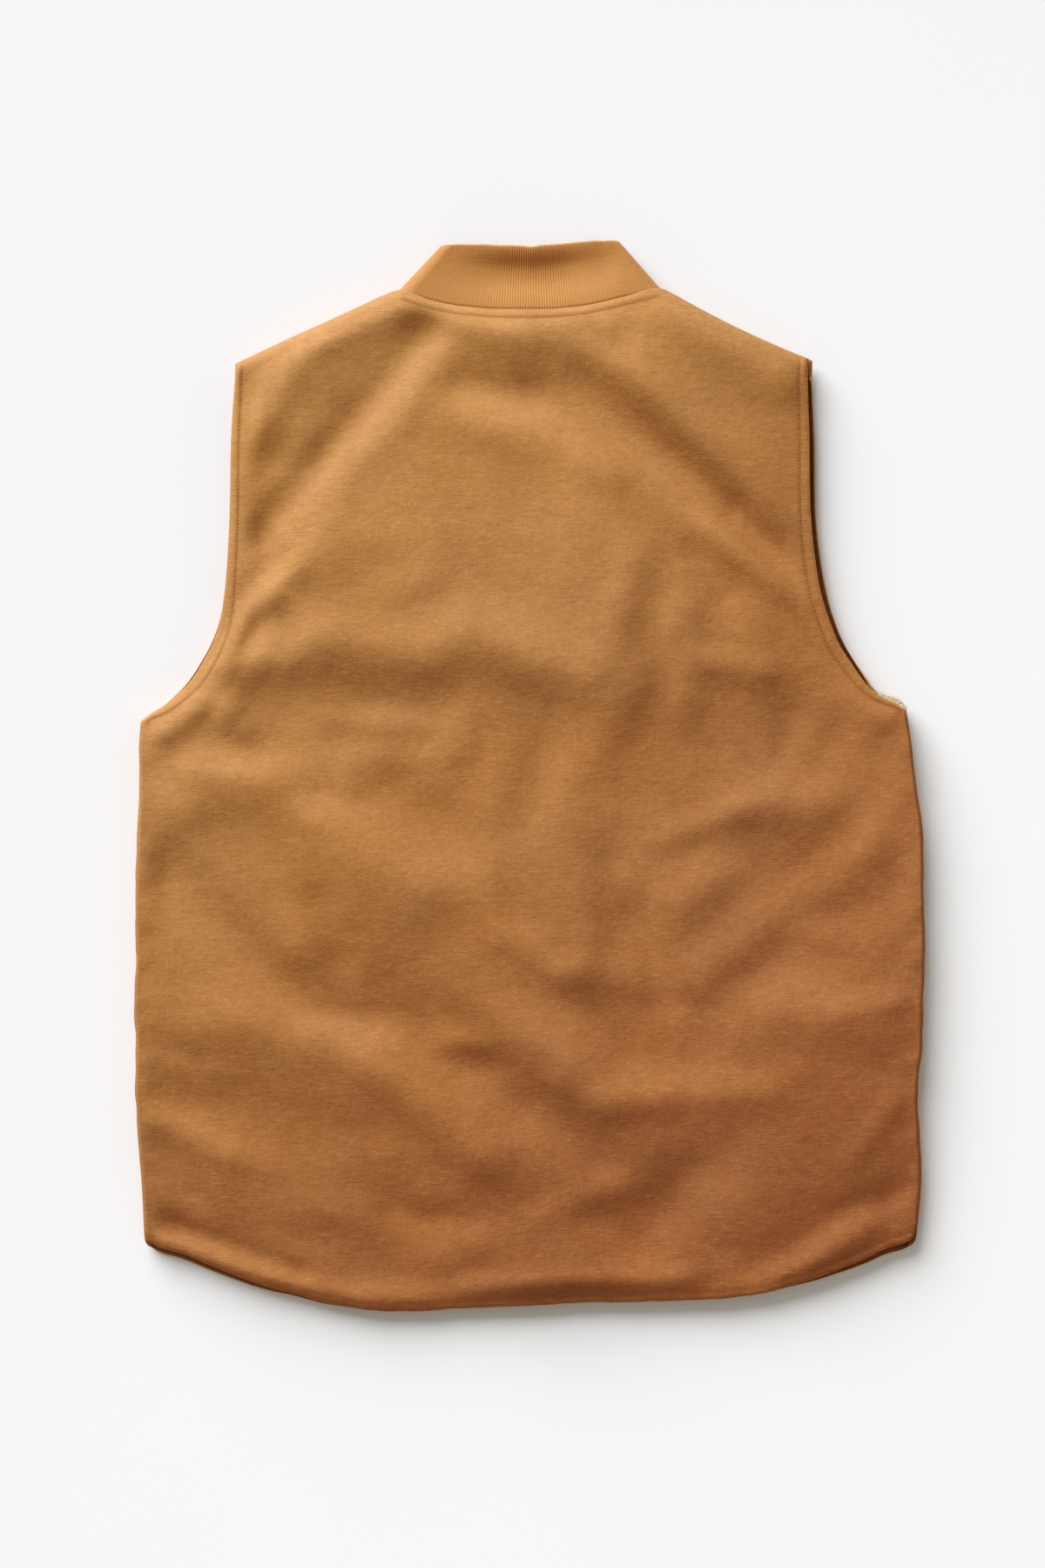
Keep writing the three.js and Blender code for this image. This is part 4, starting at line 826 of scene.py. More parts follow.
def sew(name, runs, surface, side=1, radius=0.32, pitch=STITCH_PITCH, lift=0.05):
    """Rows of stitches laid on a surface along plan polylines."""
    tree = BVHTree.FromObject(surface, bpy.context.evaluated_depsgraph_get())
    v, quads, tris = bead(pitch * 0.80, radius)
    verts, fq, ft = [], [], []
    n = 0
    for line in runs:
        total = np.linalg.norm(np.diff(line, axis=0), axis=1).sum()
        count = max(2, int(total / pitch))
        f = by_length(line)
        mids = f((np.arange(count) + 0.5) / count)
        ahead = f((np.arange(count) + 0.85) / count)
        for m, a in zip(mids, ahead):
            hits = []
            for p in (m, a):
                o = Vector((p[0] * MM, (p[1] - CENTRE_Y) * MM, 0.08 if side > 0 else -0.03))
                hit = tree.ray_cast(o, Vector((0, 0, -side)))
                hits.append(hit)
            if hits[0][0] is None or hits[1][0] is None:
                continue
            c, e = np.array(hits[0][0]) / MM, np.array(hits[1][0]) / MM
            nrm = np.array(hits[0][1])
            if nrm[2] * side < 0:
                nrm = -nrm
            t = e - c
            t -= nrm * t.dot(nrm)
            t /= np.linalg.norm(t)
            b = np.cross(nrm, t)
            skew = RNG.normal(0, 0.05)
            t2 = t * math.cos(skew) + b * math.sin(skew)
            b2 = np.cross(nrm, t2)
            w = c + nrm * lift + v[:, :1] * t2 * RNG.uniform(0.92, 1.05) + v[:, 1:2] * b2 + v[:, 2:] * nrm
            if side < 0:                         # pressed flat by the surface it lies on
                w[:, 2] = np.maximum(w[:, 2], 0.02)
            verts.append(w)
            fq.append(quads + n)
            ft.append(tris + n)
            n += len(v)
    return make_mesh(name, np.vstack(verts), [np.vstack(fq), np.vstack(ft)])


def inside(line, distance, left_side):
    """A polyline offset in plan."""
    t = np.gradient(line, axis=0)
    t /= np.linalg.norm(t, axis=1, keepdims=True)
    n = np.stack([-t[:, 1], t[:, 0]], -1) * (1 if left_side else -1)
    return line + n * np.asarray(distance).reshape(-1, 1)


def build_tab():
    """The pale inner cloth that peeps out at the right underarm, with its nap."""
    rows = [
        (271.4, 49.2, 261.0, 37.0, 11.0), (264.8, 55.6, 254.0, 40.5, 10.6),
        (255.0, 58.8, 244.0, 46.0, 9.8), (246.0, 62.8, 235.0, 53.0, 9.0),
    ]
    f = by_length(smooth_line([r[:2] for r in rows])), by_length(smooth_line([r[2:4] for r in rows]))
    hz = by_length(np.stack([np.linspace(0, 1, 4), [r[4] for r in rows]], -1))
    nu, nv = 70, 44
    u, v = np.meshgrid(np.linspace(0, 1, nu), np.linspace(0, 1, nv) ** 1.6, indexing="ij")
    xy = f[0](u) * (1 - v[..., None]) + f[1](u) * v[..., None]
    z = hz(u)[..., 1]
    out = f[0](u) - f[1](u)
    out /= np.linalg.norm(out, axis=-1, keepdims=True)
    ragged = 0.35 * value_noise(u * 40, v, 2.0, 31) + 0.2 * value_noise(u * 40, v, 0.8, 32)
    xy = xy + out * (ragged * (1 - v) ** 3)[..., None]
    edge = np.minimum(np.minimum(u, 1 - u) * 38, v * 18)
    prof = np.sqrt(np.clip(1 - (1 - np.clip(edge / 1.0, 0, 1)) ** 2, 0.01, 1))
    nap = 0.22 * value_noise(xy[..., 0], xy[..., 1], 1.1, 33) + 0.12 * value_noise(xy[..., 0], xy[..., 1], 0.5, 34)
    up = np.stack([xy[..., 0], xy[..., 1] - CENTRE_Y, z + prof * (0.95 + nap)], -1)
    lo = np.stack([xy[..., 0], xy[..., 1] - CENTRE_Y, z - prof * (0.95 + nap)], -1)
    top_f, under_f, side_f = wall_faces(nu, nv)
    ob = make_mesh("underarm_lining_cloth", np.vstack([up.reshape(-1, 3), lo.reshape(-1, 3)]), [top_f, under_f, side_f])
    # loose fibres along its edge
    verts, faces = [], []
    for i in range(420):
        uu = RNG.uniform(0.0, 1.0)
        base = f[0](uu) + out[min(nu - 1, int(uu * nu)), 0] * RNG.uniform(-1.6, 0.5)
        p = np.array([base[0], base[1] - CENTRE_Y, float(hz(uu)[1]) + RNG.uniform(-0.6, 1.1)])
        d = np.append(out[min(nu - 1, int(uu * nu)), 0], 0.0) + RNG.normal(0, 0.6, 3)
        d /= np.linalg.norm(d)
        long, w = RNG.uniform(0.3, 0.8), 0.06
        s = np.cross(d, [0, 0, 1.0])
        s /= max(np.linalg.norm(s), 1e-6)
        t = np.cross(s, d)
        k = len(verts)
        bend = RNG.normal(0, 0.3, 3)
        verts += [p + s * w, p - s * w * 0.5 + t * w, p - s * w * 0.5 - t * w,
                  p + d * long * 0.6 + bend * 0.3 + s * w * 0.6, p + d * long * 0.6 + bend * 0.3 - s * w * 0.4 + t * w * 0.6,
                  p + d * long * 0.6 + bend * 0.3 - s * w * 0.4 - t * w * 0.6, p + d * long + bend]
        faces += [(k, k + 1, k + 4), (k, k + 4, k + 3), (k + 1, k + 2, k + 5), (k + 1, k + 5, k + 4),
                  (k + 2, k, k + 3), (k + 2, k + 3, k + 5), (k + 3, k + 4, k + 6), (k + 4, k + 5, k + 6),
                  (k + 5, k + 3, k + 6), (k, k + 2, k + 1)]
    nap_ob = make_mesh("underarm_lining_nap", np.array(verts), np.array(faces))
    return ob, nap_ob


def tube(points, radius, sides=6):
    """A thin closed thread along points."""
    p = np.array(points, float)
    t = np.gradient(p, axis=0)
    t /= np.linalg.norm(t, axis=1, keepdims=True)
    ref = np.array([0.3, 0.2, 1.0])
    n = np.cross(t, ref)
    n /= np.linalg.norm(n, axis=1, keepdims=True)
    b = np.cross(t, n)
    a = np.arange(sides) / sides * 2 * math.pi
    taper = np.sqrt(np.clip(1 - (2 * np.abs(np.linspace(0, 1, len(p)) - 0.5)) ** 6, 0.1, 1))
    v = p[:, None] + radius * taper[:, None, None] * (np.cos(a)[None, :, None] * n[:, None] + np.sin(a)[None, :, None] * b[:, None])
    v = v.reshape(-1, 3)
    q = []
    for j in range(len(p) - 1):
        for k in range(sides):
            q.append((j * sides + k, j * sides + (k + 1) % sides, (j + 1) * sides + (k + 1) % sides, (j + 1) * sides + k))
    tri = [(0, k, k + 1) for k in range(1, sides - 1)]
    e = (len(p) - 1) * sides
    tri += [(e, e + k + 1, e + k) for k in range(1, sides - 1)]
    return v, np.array(q), np.array(tri)


def build_thread_end():
    """A few pale thread ends left at the top of the right armhole."""
    verts, fq, ft, n = [], [], [], 0
    cx, cy = 202.0, 285.0
    for i in range(4):
        a = RNG.uniform(-0.5, 1.1)
        long = RNG.uniform(1.4, 2.8)
        t = np.linspace(0, 1, 8)
        curl = RNG.uniform(-1.4, 1.4)
        p = np.stack([cx - 1.5 + long * t * math.cos(a), cy + RNG.uniform(-1.6, 1.6) + long * t * math.sin(a) + curl * t * t,
                      14.5 + 1.6 * np.sin(t * 2.2) + RNG.uniform(-0.5, 0.5)], -1)
        p[:, 1] -= CENTRE_Y
        v, q, tr = tube(p, 0.14)
        verts.append(v)
        fq.append(q + n)
        ft.append(tr + n)
        n += len(v)
    return make_mesh("armhole_thread_end", np.vstack(verts), [np.vstack(fq), np.vstack(ft)])


def box_verts(c, size, rot=0.0):
    """A bevelled tooth: a block with its outer corners drawn in."""
    sx, sy, sz = (v / 2 for v in size)
    base = np.array([[-sx, -sy, -sz], [sx, -sy, -sz], [sx, sy, -sz], [-sx, sy, -sz],
                     [-sx, -sy, sz], [sx, -sy, sz], [sx, sy, sz], [-sx, sy, sz]])
    low = base.copy()
    low[:4, :2] *= 0.72
    ring = base[:4].copy()
    ring[:, 2] = -sz * 0.35
    v = np.vstack([low[:4], ring, base[4:]])
    v = v + np.array(c)
    q = [(0, 3, 2, 1), (8, 9, 10, 11)]
    for lo, hi in ((0, 4), (4, 8)):
        for k in range(4):
            q.append((lo + k, lo + (k + 1) % 4, hi + (k + 1) % 4, hi + k))
    return v, np.array(q)


def build_zip():
    """Tape, interlocked teeth, end stop, slider and pull tab."""
    y0, y1 = float(hem_line(0.0)) + 3, 301.0
    # tape: woven ribbons with a corded inner edge
    xs = np.array([-14, -13.6, -12, -8, -4.6, -3.9, -3.0, -2.2, -1.2, 0, 1.2, 2.2, 3.0, 3.9, 4.6, 8, 12, 13.6, 14.0])
    cord = 0.55 * np.exp(-((np.abs(xs) - 3.2) / 0.7) ** 2)
    ys = np.linspace(y0, y1, 260)
    X, Y = np.meshgrid(xs, ys)
    low = 4.4 - np.broadcast_to(cord, X.shape)
    high = np.full_like(X, 5.4)
    lo = np.stack([X, Y - CENTRE_Y, low], -1)
    hi = np.stack([X, Y - CENTRE_Y, high], -1)
    a, b, c = wall_faces(len(ys), len(xs))
    tape = make_mesh("front_zip_tape", np.vstack([hi.reshape(-1, 3), lo.reshape(-1, 3)]), [a, b, c])
    verts, quads, n = [], [], 0
    pitch = 2.9
    count = int((y1 - 14 - y0 - 8) / pitch)
    for i in range(count):
        y = y0 + 8 + i * pitch
        for s in (-1, 1):
            yy = y + (pitch / 2 if s > 0 else 0)
            v, q = box_verts((s * 1.35, yy - CENTRE_Y, 2.75), (4.1, 1.35, 2.6))
            verts.append(v)
            quads.append(q + n)
            n += len(v)
    for s in (-1, 1):
        v, q = box_verts((s * 2.2, y0 + 4 - CENTRE_Y, 2.7), (3.9, 5.2, 3.2))
        verts.append(v)
        quads.append(q + n)
        n += len(v)
    teeth = make_mesh("front_zip_teeth", np.vstack(verts), [np.vstack(quads)])
    # slider: an arched plate, and a flat pull tab
    t = np.linspace(-1, 1, 13)
    u = np.linspace(-1, 1, 11)
    T, U = np.meshgrid(t, u, indexing="ij")
    half = lerp(3.6, 4.8, ease((T + 1) / 1.4))
    yy = 289 + T * 6.2
    dome = 0.45 + 1.0 * (np.abs(U) ** 4) + 0.5 * np.abs(T) ** 6
    lo = np.stack([U * half, yy - CENTRE_Y, dome], -1)
    hi = np.stack([U * half * 0.98, yy - CENTRE_Y, 0 * dome + 3.9 - 0.5 * (1 - np.abs(U) ** 4)], -1)
    a, b, c = wall_faces(13, 11)
    parts_v, parts_q, n = [], [], 0
    for v, q in ((np.vstack([hi.reshape(-1, 3), lo.reshape(-1, 3)]), np.vstack([a, b, c]) ), ):
        parts_v.append(v[:, [0, 1, 2]])
        parts_q.append(q[:, ::-1] + n)
        n += len(v)
    # pull tab: flat, rounded at its end
    k = 22
    ang = np.linspace(0, math.pi, k // 2)
    outline = [(2.9, 281.0), (2.9, 264.0)] + [(2.9 * math.cos(q), 264 - 2.9 * math.sin(q)) for q in ang[1:-1]] + [(-2.9, 264.0), (-2.9, 281.0), (-1.6, 284.5), (1.6, 284.5)]
    outline = np.array(outline)
    m = len(outline)
    centre = outline.mean(0)
    lowp = np.column_stack([centre + (outline - centre) * 0.9, np.full(m, 0.12)])
    midp = np.column_stack([outline, np.full(m, 0.5)])
    topp = np.column_stack([centre + (outline - centre) * 0.92, np.full(m, 1.0)])
    v = np.vstack([lowp, midp, topp, [[*centre, 0.12]], [[*centre, 1.0]]])
    v[:, 1] -= CENTRE_Y
    q, tr = [], []
    for j in range(2):
        for i in range(m):
            q.append((j * m + i, (j + 1) * m + i, (j + 1) * m + (i + 1) % m, j * m + (i + 1) % m))
    for i in range(m):
        tr.append((3 * m, i, (i + 1) % m))
        tr.append((3 * m + 1, 2 * m + (i + 1) % m, 2 * m + i))
    slider = make_mesh("front_zip_slider", np.vstack(parts_v + [v]), [np.vstack(parts_q + [np.array(q) + n]), np.array(tr) + n])
    return tape, teeth, slider


# ------------------------------------------------------------------- materials
class Nodes:
    """Short names for building a material's nodes."""

    def __init__(self, name):
        self.mat = bpy.data.materials.new(name)
        self.mat.use_nodes = True
        self.t = self.mat.node_tree
        self.t.nodes.clear()
        self.out = self.t.nodes.new("ShaderNodeOutputMaterial")
        self.bsdf = self.t.nodes.new("ShaderNodeBsdfPrincipled")
        self.t.links.new(self.bsdf.outputs[0], self.out.inputs[0])
        self.coord = self.t.nodes.new("ShaderNodeTexCoord").outputs["Object"]

    def link(self, a, b):
        self.t.links.new(a, b)

    def put(self, socket, value):
        if isinstance(value, bpy.types.NodeSocket):
            self.link(value, socket)
        else:
            socket.default_value = value

    def at(self, scale, shift=(0, 0, 0), turn=0.0):
        m = self.t.nodes.new("ShaderNodeMapping")
        self.link(self.coord, m.inputs["Vector"])
        m.inputs["Scale"].default_value = scale
        m.inputs["Location"].default_value = shift
        m.inputs["Rotation"].default_value = (0, 0, turn)
        return m.outputs[0]

    def noise(self, vector, scale=1.0, detail=2.0, rough=0.5, warp=0.0):
        n = self.t.nodes.new("ShaderNodeTexNoise")
        self.link(vector, n.inputs["Vector"])
        n.inputs["Scale"].default_value = scale
        n.inputs["Detail"].default_value = detail
        n.inputs["Roughness"].default_value = rough
        n.inputs["Distortion"].default_value = warp
        return n.outputs["Fac"]

    def wave(self, vector, direction, scale=1.0, warp=0.0, detail=0.0):
        n = self.t.nodes.new("ShaderNodeTexWave")
        n.wave_type = "BANDS"
        n.bands_direction = direction
        self.link(vector, n.inputs["Vector"])
        n.inputs["Scale"].default_value = scale
        n.inputs["Distortion"].default_value = warp
        n.inputs["Detail"].default_value = detail
        return n.outputs["Fac"]

    def math(self, op, a, b=0.0, c=0.0, clamp=False):
        n = self.t.nodes.new("ShaderNodeMath")
        n.operation = op
        n.use_clamp = clamp
        for s, v in zip(n.inputs, (a, b, c)):
            self.put(s, v)
        return n.outputs[0]

    def ramp(self, value, low, high):
        n = self.t.nodes.new("ShaderNodeMapRange")
        n.interpolation_type = "SMOOTHSTEP"
        self.put(n.inputs["Value"], value)
        n.inputs["From Min"].default_value = low
        n.inputs["From Max"].default_value = high
        return n.outputs[0]

    def mix(self, fac, a, b, mode="MIX"):
        n = self.t.nodes.new("ShaderNodeMix")
        n.data_type = "RGBA"
        n.blend_type = mode
        self.put(n.inputs["Factor"], fac)
        self.put(n.inputs[6], a)
        self.put(n.inputs[7], b)
        return n.outputs[2]

    def across(self, run, way):
        """0 to 1 smoothly across the object, over a run in metres along a plan
        direction."""
        m = self.t.nodes.new("ShaderNodeVectorMath")
        m.operation = "DOT_PRODUCT"
        self.link(self.coord, m.inputs[0])
        m.inputs[1].default_value = (way[0], way[1], 0)
        return self.ramp(m.outputs["Value"], -run / 2, run / 2)

    def attribute(self, name):
        n = self.t.nodes.new("ShaderNodeAttribute")
        n.attribute_name = name
        return n.outputs["Fac"]

    def tint(self, colour, hue, sat, val):
        n = self.t.nodes.new("ShaderNodeHueSaturation")
        self.put(n.inputs["Color"], colour)
        self.put(n.inputs["Hue"], hue)
        self.put(n.inputs["Saturation"], sat)
        self.put(n.inputs["Value"], val)
        return n.outputs[0]

    def bump(self, height, strength, distance):
        n = self.t.nodes.new("ShaderNodeBump")
        n.inputs["Strength"].default_value = strength
        n.inputs["Distance"].default_value = distance
        self.link(height, n.inputs["Height"])
        self.link(n.outputs[0], self.bsdf.inputs["Normal"])

    def cloth(self, rough, sheen=0.0, sheen_rough=0.5, tint=(1, 1, 1, 1), spec=0.25):
        i = self.bsdf.inputs
        i["Roughness"].default_value = rough
        i["Specular IOR Level"].default_value = spec
        i["Sheen Weight"].default_value = sheen
        i["Sheen Roughness"].default_value = sheen_rough
        i["Sheen Tint"].default_value = tint


BAND = math.pi / 10 / MM          # wave scale of bands 1 mm apart


def srgb(r, g, b):
    f = lambda v: v / 255 / 12.92 if v / 255 <= 0.04045 else ((v / 255 + 0.055) / 1.055) ** 2.4
    return (f(r), f(g), f(b), 1.0)


def canvas(name, base):
    n = Nodes(name)
    # broad shade changes of a washed cloth
    broad = n.noise(n.at((9, 9, 9)), detail=3, rough=0.55)
    patch = n.noise(n.at((42, 34, 40), (3, 1, 0)), detail=4, rough=0.6)
    cloud = n.noise(n.at((120, 150, 120), (7, 2, 0)), detail=3, rough=0.6)
    # thick and thin threads across the cloth, and finer ones up it
    slub = n.noise(n.at((260, 1150, 260)), detail=2, rough=0.6)
    slub_long = n.noise(n.at((110, 620, 110), (5, 3, 0)), detail=2, rough=0.55)
    grain = n.noise(n.at((1150, 1250, 1150), (1, 6, 0)), detail=2, rough=0.65)
    blot = n.noise(n.at((210, 290, 210), (9, 6, 0)), detail=3, rough=0.6)
    warp = n.noise(n.at((1300, 60, 900), (2, 8, 0)), detail=1, rough=0.5)
    value = n.math("MULTIPLY_ADD", n.math("SUBTRACT", broad, 0.5), 0.07, 1.0)
    value = n.math("MULTIPLY_ADD", n.math("SUBTRACT", patch, 0.5), 0.09, value)
    value = n.math("MULTIPLY_ADD", n.math("SUBTRACT", cloud, 0.5), 0.16, value)
    value = n.math("MULTIPLY_ADD", n.math("SUBTRACT", slub, 0.5), 0.17, value)
    value = n.math("MULTIPLY_ADD", n.math("SUBTRACT", grain, 0.5), 0.30, value)
    value = n.math("MULTIPLY_ADD", n.math("SUBTRACT", blot, 0.5), 0.22, value)
    value = n.math("MULTIPLY_ADD", n.math("SUBTRACT", slub_long, 0.5), 0.07, value)
    value = n.math("MULTIPLY_ADD", n.math("SUBTRACT", warp, 0.5), 0.12, value)
    hue = n.math("MULTIPLY_ADD", n.math("SUBTRACT", patch, 0.5), 0.006, 0.5)
    sat = n.math("MULTIPLY_ADD", n.math("SUBTRACT", broad, 0.5), -0.10, 1.0)
    # colour grades paler and yellower towards the upper left, where the light falls from: partly painted light, partly
    # the cloth's own change of tone
    base = n.mix(n.across(PAINTED_LIGHT_RUN, PAINTED_LIGHT_WAY), DARK_TONE_AND_PAINTED_SHADE, PALE_TONE_AND_PAINTED_LIGHT)
    colour = n.tint(base, hue, sat, value)
    # threads that catch the light here and there, more in some patches
    streak = n.noise(n.at((95, 1500, 95), (2, 5, 0)), detail=1, rough=0.5)
    fleck = n.noise(n.at((620, 1500, 620), (8, 1, 0)), detail=1, rough=0.5)
    lit = n.math("ADD", n.math("MULTIPLY", n.ramp(streak, 0.56, 0.72), 0.16), n.math("MULTIPLY", n.ramp(fleck, 0.60, 0.72), 0.16))
    colour = n.mix(n.math("MULTIPLY", lit, n.ramp(cloud, 0.36, 0.62)), colour, srgb(214, 166, 112))
    worn = n.math("ADD", n.math("MULTIPLY", n.ramp(streak, 0.44, 0.30), 0.16), n.math("MULTIPLY", n.ramp(fleck, 0.40, 0.28), 0.16))
    colour = n.mix(worn, colour, srgb(104, 62, 30))
    # rare pale nubs in the yarn
    nub = n.noise(n.at((230, 700, 230), (11, 4, 2)), detail=1, rough=0.4)
    colour = n.mix(n.math("MULTIPLY", n.ramp(nub, 0.76, 0.82), 0.14), colour, srgb(214, 168, 112))
    # turned edges paler: partly rubbed wear, partly a painted highlight along the lit rims
    wear_and_highlight = n.math("MULTIPLY", n.attribute("wear_and_highlight"), n.math("MULTIPLY_ADD", cloud, 0.5, 0.05))
    colour = n.mix(wear_and_highlight, colour, srgb(204, 150, 96))
    # stitch grooves darker: painted shade in the recesses, with some grime
    groove_shade_and_grime = n.math("MULTIPLY", n.attribute("groove"), n.math("MULTIPLY_ADD", cloud, 0.5, 0.08))
    colour = n.mix(groove_shade_and_grime, colour, srgb(92, 50, 20))
    n.link(colour, n.bsdf.inputs["Base Color"])
    n.cloth(0.94, 0.06, 0.45, (1.0, 0.78, 0.55, 1), 0.06)
    weft = n.wave(n.at((1, 1, 1)), "Y", BAND / 0.62, 0.0)
    warps = n.wave(n.at((1, 1, 1)), "X", BAND / 0.62, 0.0)
    h = n.math("ADD", n.math("MULTIPLY", weft, 0.35), n.math("MULTIPLY", warps, 0.25))
    h = n.math("MULTIPLY_ADD", slub, 0.55, h)
    h = n.math("MULTIPLY_ADD", grain, 0.8, h)
    h = n.math("MULTIPLY_ADD", blot, 2.0, h)
    h = n.math("MULTIPLY_ADD", slub_long, 0.5, h)
    h = n.math("MULTIPLY_ADD", cloud, 1.3, h)
    h = n.math("MULTIPLY_ADD", patch, 2.2, h)
    n.bump(h, 0.55, 0.00042)
    return n.mat


def rib_knit(name, base):
    n = Nodes(name)
    broad = n.noise(n.at((30, 30, 30)), detail=3, rough=0.55)
    fuzz = n.noise(n.at((900, 900, 900)), detail=3, rough=0.65)
    row = n.noise(n.at((160, 900, 200), (4, 4, 0)), detail=2, rough=0.5)
    value = n.math("MULTIPLY_ADD", n.math("SUBTRACT", broad, 0.5), 0.14, 1.0)
    value = n.math("MULTIPLY_ADD", n.math("SUBTRACT", fuzz, 0.5), 0.28, value)
    value = n.math("MULTIPLY_ADD", n.math("SUBTRACT", row, 0.5), 0.16, value)
    colour = n.tint(base, 0.5, 1.0, value)
    # rib valleys darkened: painted shade in the knit's hollows
    rib_valley_shade = n.ramp(n.attribute("rib"), 0.35, 1.0)
    colour = n.mix(n.math("MULTIPLY", rib_valley_shade, 0.55), colour, srgb(128, 76, 34))
    # the folded rim paler: partly rubbed wear, partly a painted highlight
    colour = n.mix(n.math("MULTIPLY", n.attribute("wear_and_highlight"), 0.22), colour, srgb(222, 168, 108))
    n.link(colour, n.bsdf.inputs["Base Color"])
    n.cloth(0.95, 0.30, 0.4, (1.0, 0.82, 0.62, 1), 0.1)
    course = n.math("SINE", n.math("MULTIPLY", n.attribute("course"), 2 * math.pi / 1.25))
    h = n.math("MULTIPLY_ADD", fuzz, 1.2, n.math("MULTIPLY", course, 0.12))
    n.bump(h, 0.5, 0.00025)
    return n.mat


def inner_cloth(name, base):
    n = Nodes(name)
    tuft = n.noise(n.at((520, 520, 520)), detail=4, rough=0.7, warp=0.6)
    broad = n.noise(n.at((40, 40, 40)), detail=3)
    value = n.math("MULTIPLY_ADD", n.math("SUBTRACT", tuft, 0.5), 0.5, 1.0)
    value = n.math("MULTIPLY_ADD", n.math("SUBTRACT", broad, 0.5), 0.2, value)
    n.link(n.tint(base, 0.5, 1.0, value), n.bsdf.inputs["Base Color"])
    n.cloth(0.97, 0.5, 0.35, (1.0, 0.95, 0.88, 1), 0.08)
    n.bump(tuft, 0.7, 0.0006)
    return n.mat


def thread(name, base):
    n = Nodes(name)
    twist = n.wave(n.at((1, 1, 1), turn=0.7), "X", BAND / 0.4, 1.5)
    value = n.math("MULTIPLY_ADD", n.math("SUBTRACT", twist, 0.5), 0.25, 1.0)
    n.link(n.tint(base, 0.5, 1.0, value), n.bsdf.inputs["Base Color"])
    n.cloth(0.6, 0.2, 0.4, (1, 0.9, 0.75, 1), 0.35)
    n.bump(twist, 0.3, 0.0001)
    return n.mat


def zip_tape(name):
    n = Nodes(name)
    weave = n.wave(n.at((1, 1, 1), turn=0.78), "X", BAND / 1.1, 0.4)
    weave2 = n.wave(n.at((1, 1, 1), turn=-0.78), "X", BAND / 1.1, 0.4)
    mottle = n.noise(n.at((300, 300, 300)), detail=3)
    value = n.math("MULTIPLY_ADD", n.math("SUBTRACT", mottle, 0.5), 0.3, 1.0)
    n.link(n.tint(srgb(122, 78, 42), 0.5, 1.0, value), n.bsdf.inputs["Base Color"])
    n.cloth(0.85, 0.15)
    n.bump(n.math("MAXIMUM", weave, weave2), 0.5, 0.0003)
    return n.mat


def brass(name):
    n = Nodes(name)
    tarnish = n.noise(n.at((180, 180, 180)), detail=4, rough=0.6)
    colour = n.mix(n.ramp(tarnish, 0.35, 0.7), srgb(186, 146, 82), srgb(112, 82, 44))
    n.link(colour, n.bsdf.inputs["Base Color"])
    n.bsdf.inputs["Metallic"].default_value = 1.0
    n.link(n.math("MULTIPLY_ADD", tarnish, 0.3, 0.25), n.bsdf.inputs["Roughness"])
    n.bump(tarnish, 0.15, 0.0002)
    return n.mat


# ------------------------------------------------------------------- the pieces
back, back_index, back_outer = build_back()
front_left, left_index, _ = build_front("left")
front_right, right_index, _ = build_front("right")
knit = build_collar()
tab, tab_nap = build_tab()
tape, teeth, slider = build_zip()
thread_end = build_thread_end()

arm_runs = [inside(ARM_EDGE[h], ARM_STITCH[h](ARM_EDGE[h][:, 1]), h == "right")[14:-10] for h in ("left", "right")]
hem_run = inside(HEM_EDGE, hem_stitch(HEM_EDGE[:, 0]), True)[10:-10]
neck_run = inside(NECK_EDGE, NECK_STITCH, False)[8:-8]
seams_back = [
    sew("armhole_stitches", arm_runs, back),
    sew("hem_stitches", [hem_run], back, radius=0.22, lift=-0.04),
    sew("neck_stitches", [neck_run], back, pitch=2.3),
]
front_runs = {
    "left": [inside(ARM_EDGE_FRONT["left"], 6.5, False)[14:-10]],
    "right": [inside(ARM_EDGE_FRONT["right"], 6.5, True)[14:-10]],
}
seams_front = []
for hand, ob, sign in (("left", front_left, -1), ("right", front_right, 1)):
    neck = smooth_line([(sign * x, y) for x, y in NECK_FRONT])
    cut = HEM_EDGE_FRONT[(HEM_EDGE_FRONT[:, 0] * sign) > 8]
    runs = front_runs[hand] + [inside(cut, 5.5, True)[6:-6], inside(neck, NECK_STITCH, sign < 0)[4:-12],
                               np.array([(sign * (SLIT + 4), -372.0), (sign * (SLIT + 4), 244.0)])]
    seams_front.append(sew(f"front_stitches_{hand}", runs, ob, side=-1, lift=0.0, radius=0.36))

CANVAS_BACK = srgb(172, 116, 68)
# painted light across the canvas: paler towards the upper left where the key light stands, darker towards the lower
# right, over the cloth's own change of tone
PAINTED_LIGHT_RUN = 0.95
PAINTED_LIGHT_WAY = (-0.62, 0.78)
PALE_TONE_AND_PAINTED_LIGHT = srgb(176, 129, 84)
DARK_TONE_AND_PAINTED_SHADE = srgb(154, 102, 69)
mats = dict(
    canvas=canvas("canvas_back", CANVAS_BACK), front=canvas("canvas_front", CANVAS_BACK),
    knit=rib_knit("rib_knit", srgb(178, 127, 81)), lining=inner_cloth("inner_cloth", srgb(196, 177, 148)),
    thread=thread("thread_brown", srgb(158, 108, 68)), pale=thread("thread_pale", srgb(196, 168, 132)),
    tape=zip_tape("zip_tape"), brass=brass("brass"))


def dress(ob, *names, index=None):
    for m in names:
        ob.data.materials.append(mats[m])
    if index is not None:
        ob.data.polygons.foreach_set("material_index", np.asarray(index, np.int32))


dress(back, "canvas", "lining", index=back_index)
dress(front_left, "front", "lining", index=left_index)
dress(front_right, "front", "lining", index=right_index)
dress(knit, "knit")
dress(tab, "lining")
dress(tab_nap, "lining")
dress(tape, "tape")
dress(teeth, "brass")
dress(slider, "brass")
dress(thread_end, "pale")
for s in seams_back + seams_front:
    dress(s, "canvas" if s.name.startswith("hem") else "thread")

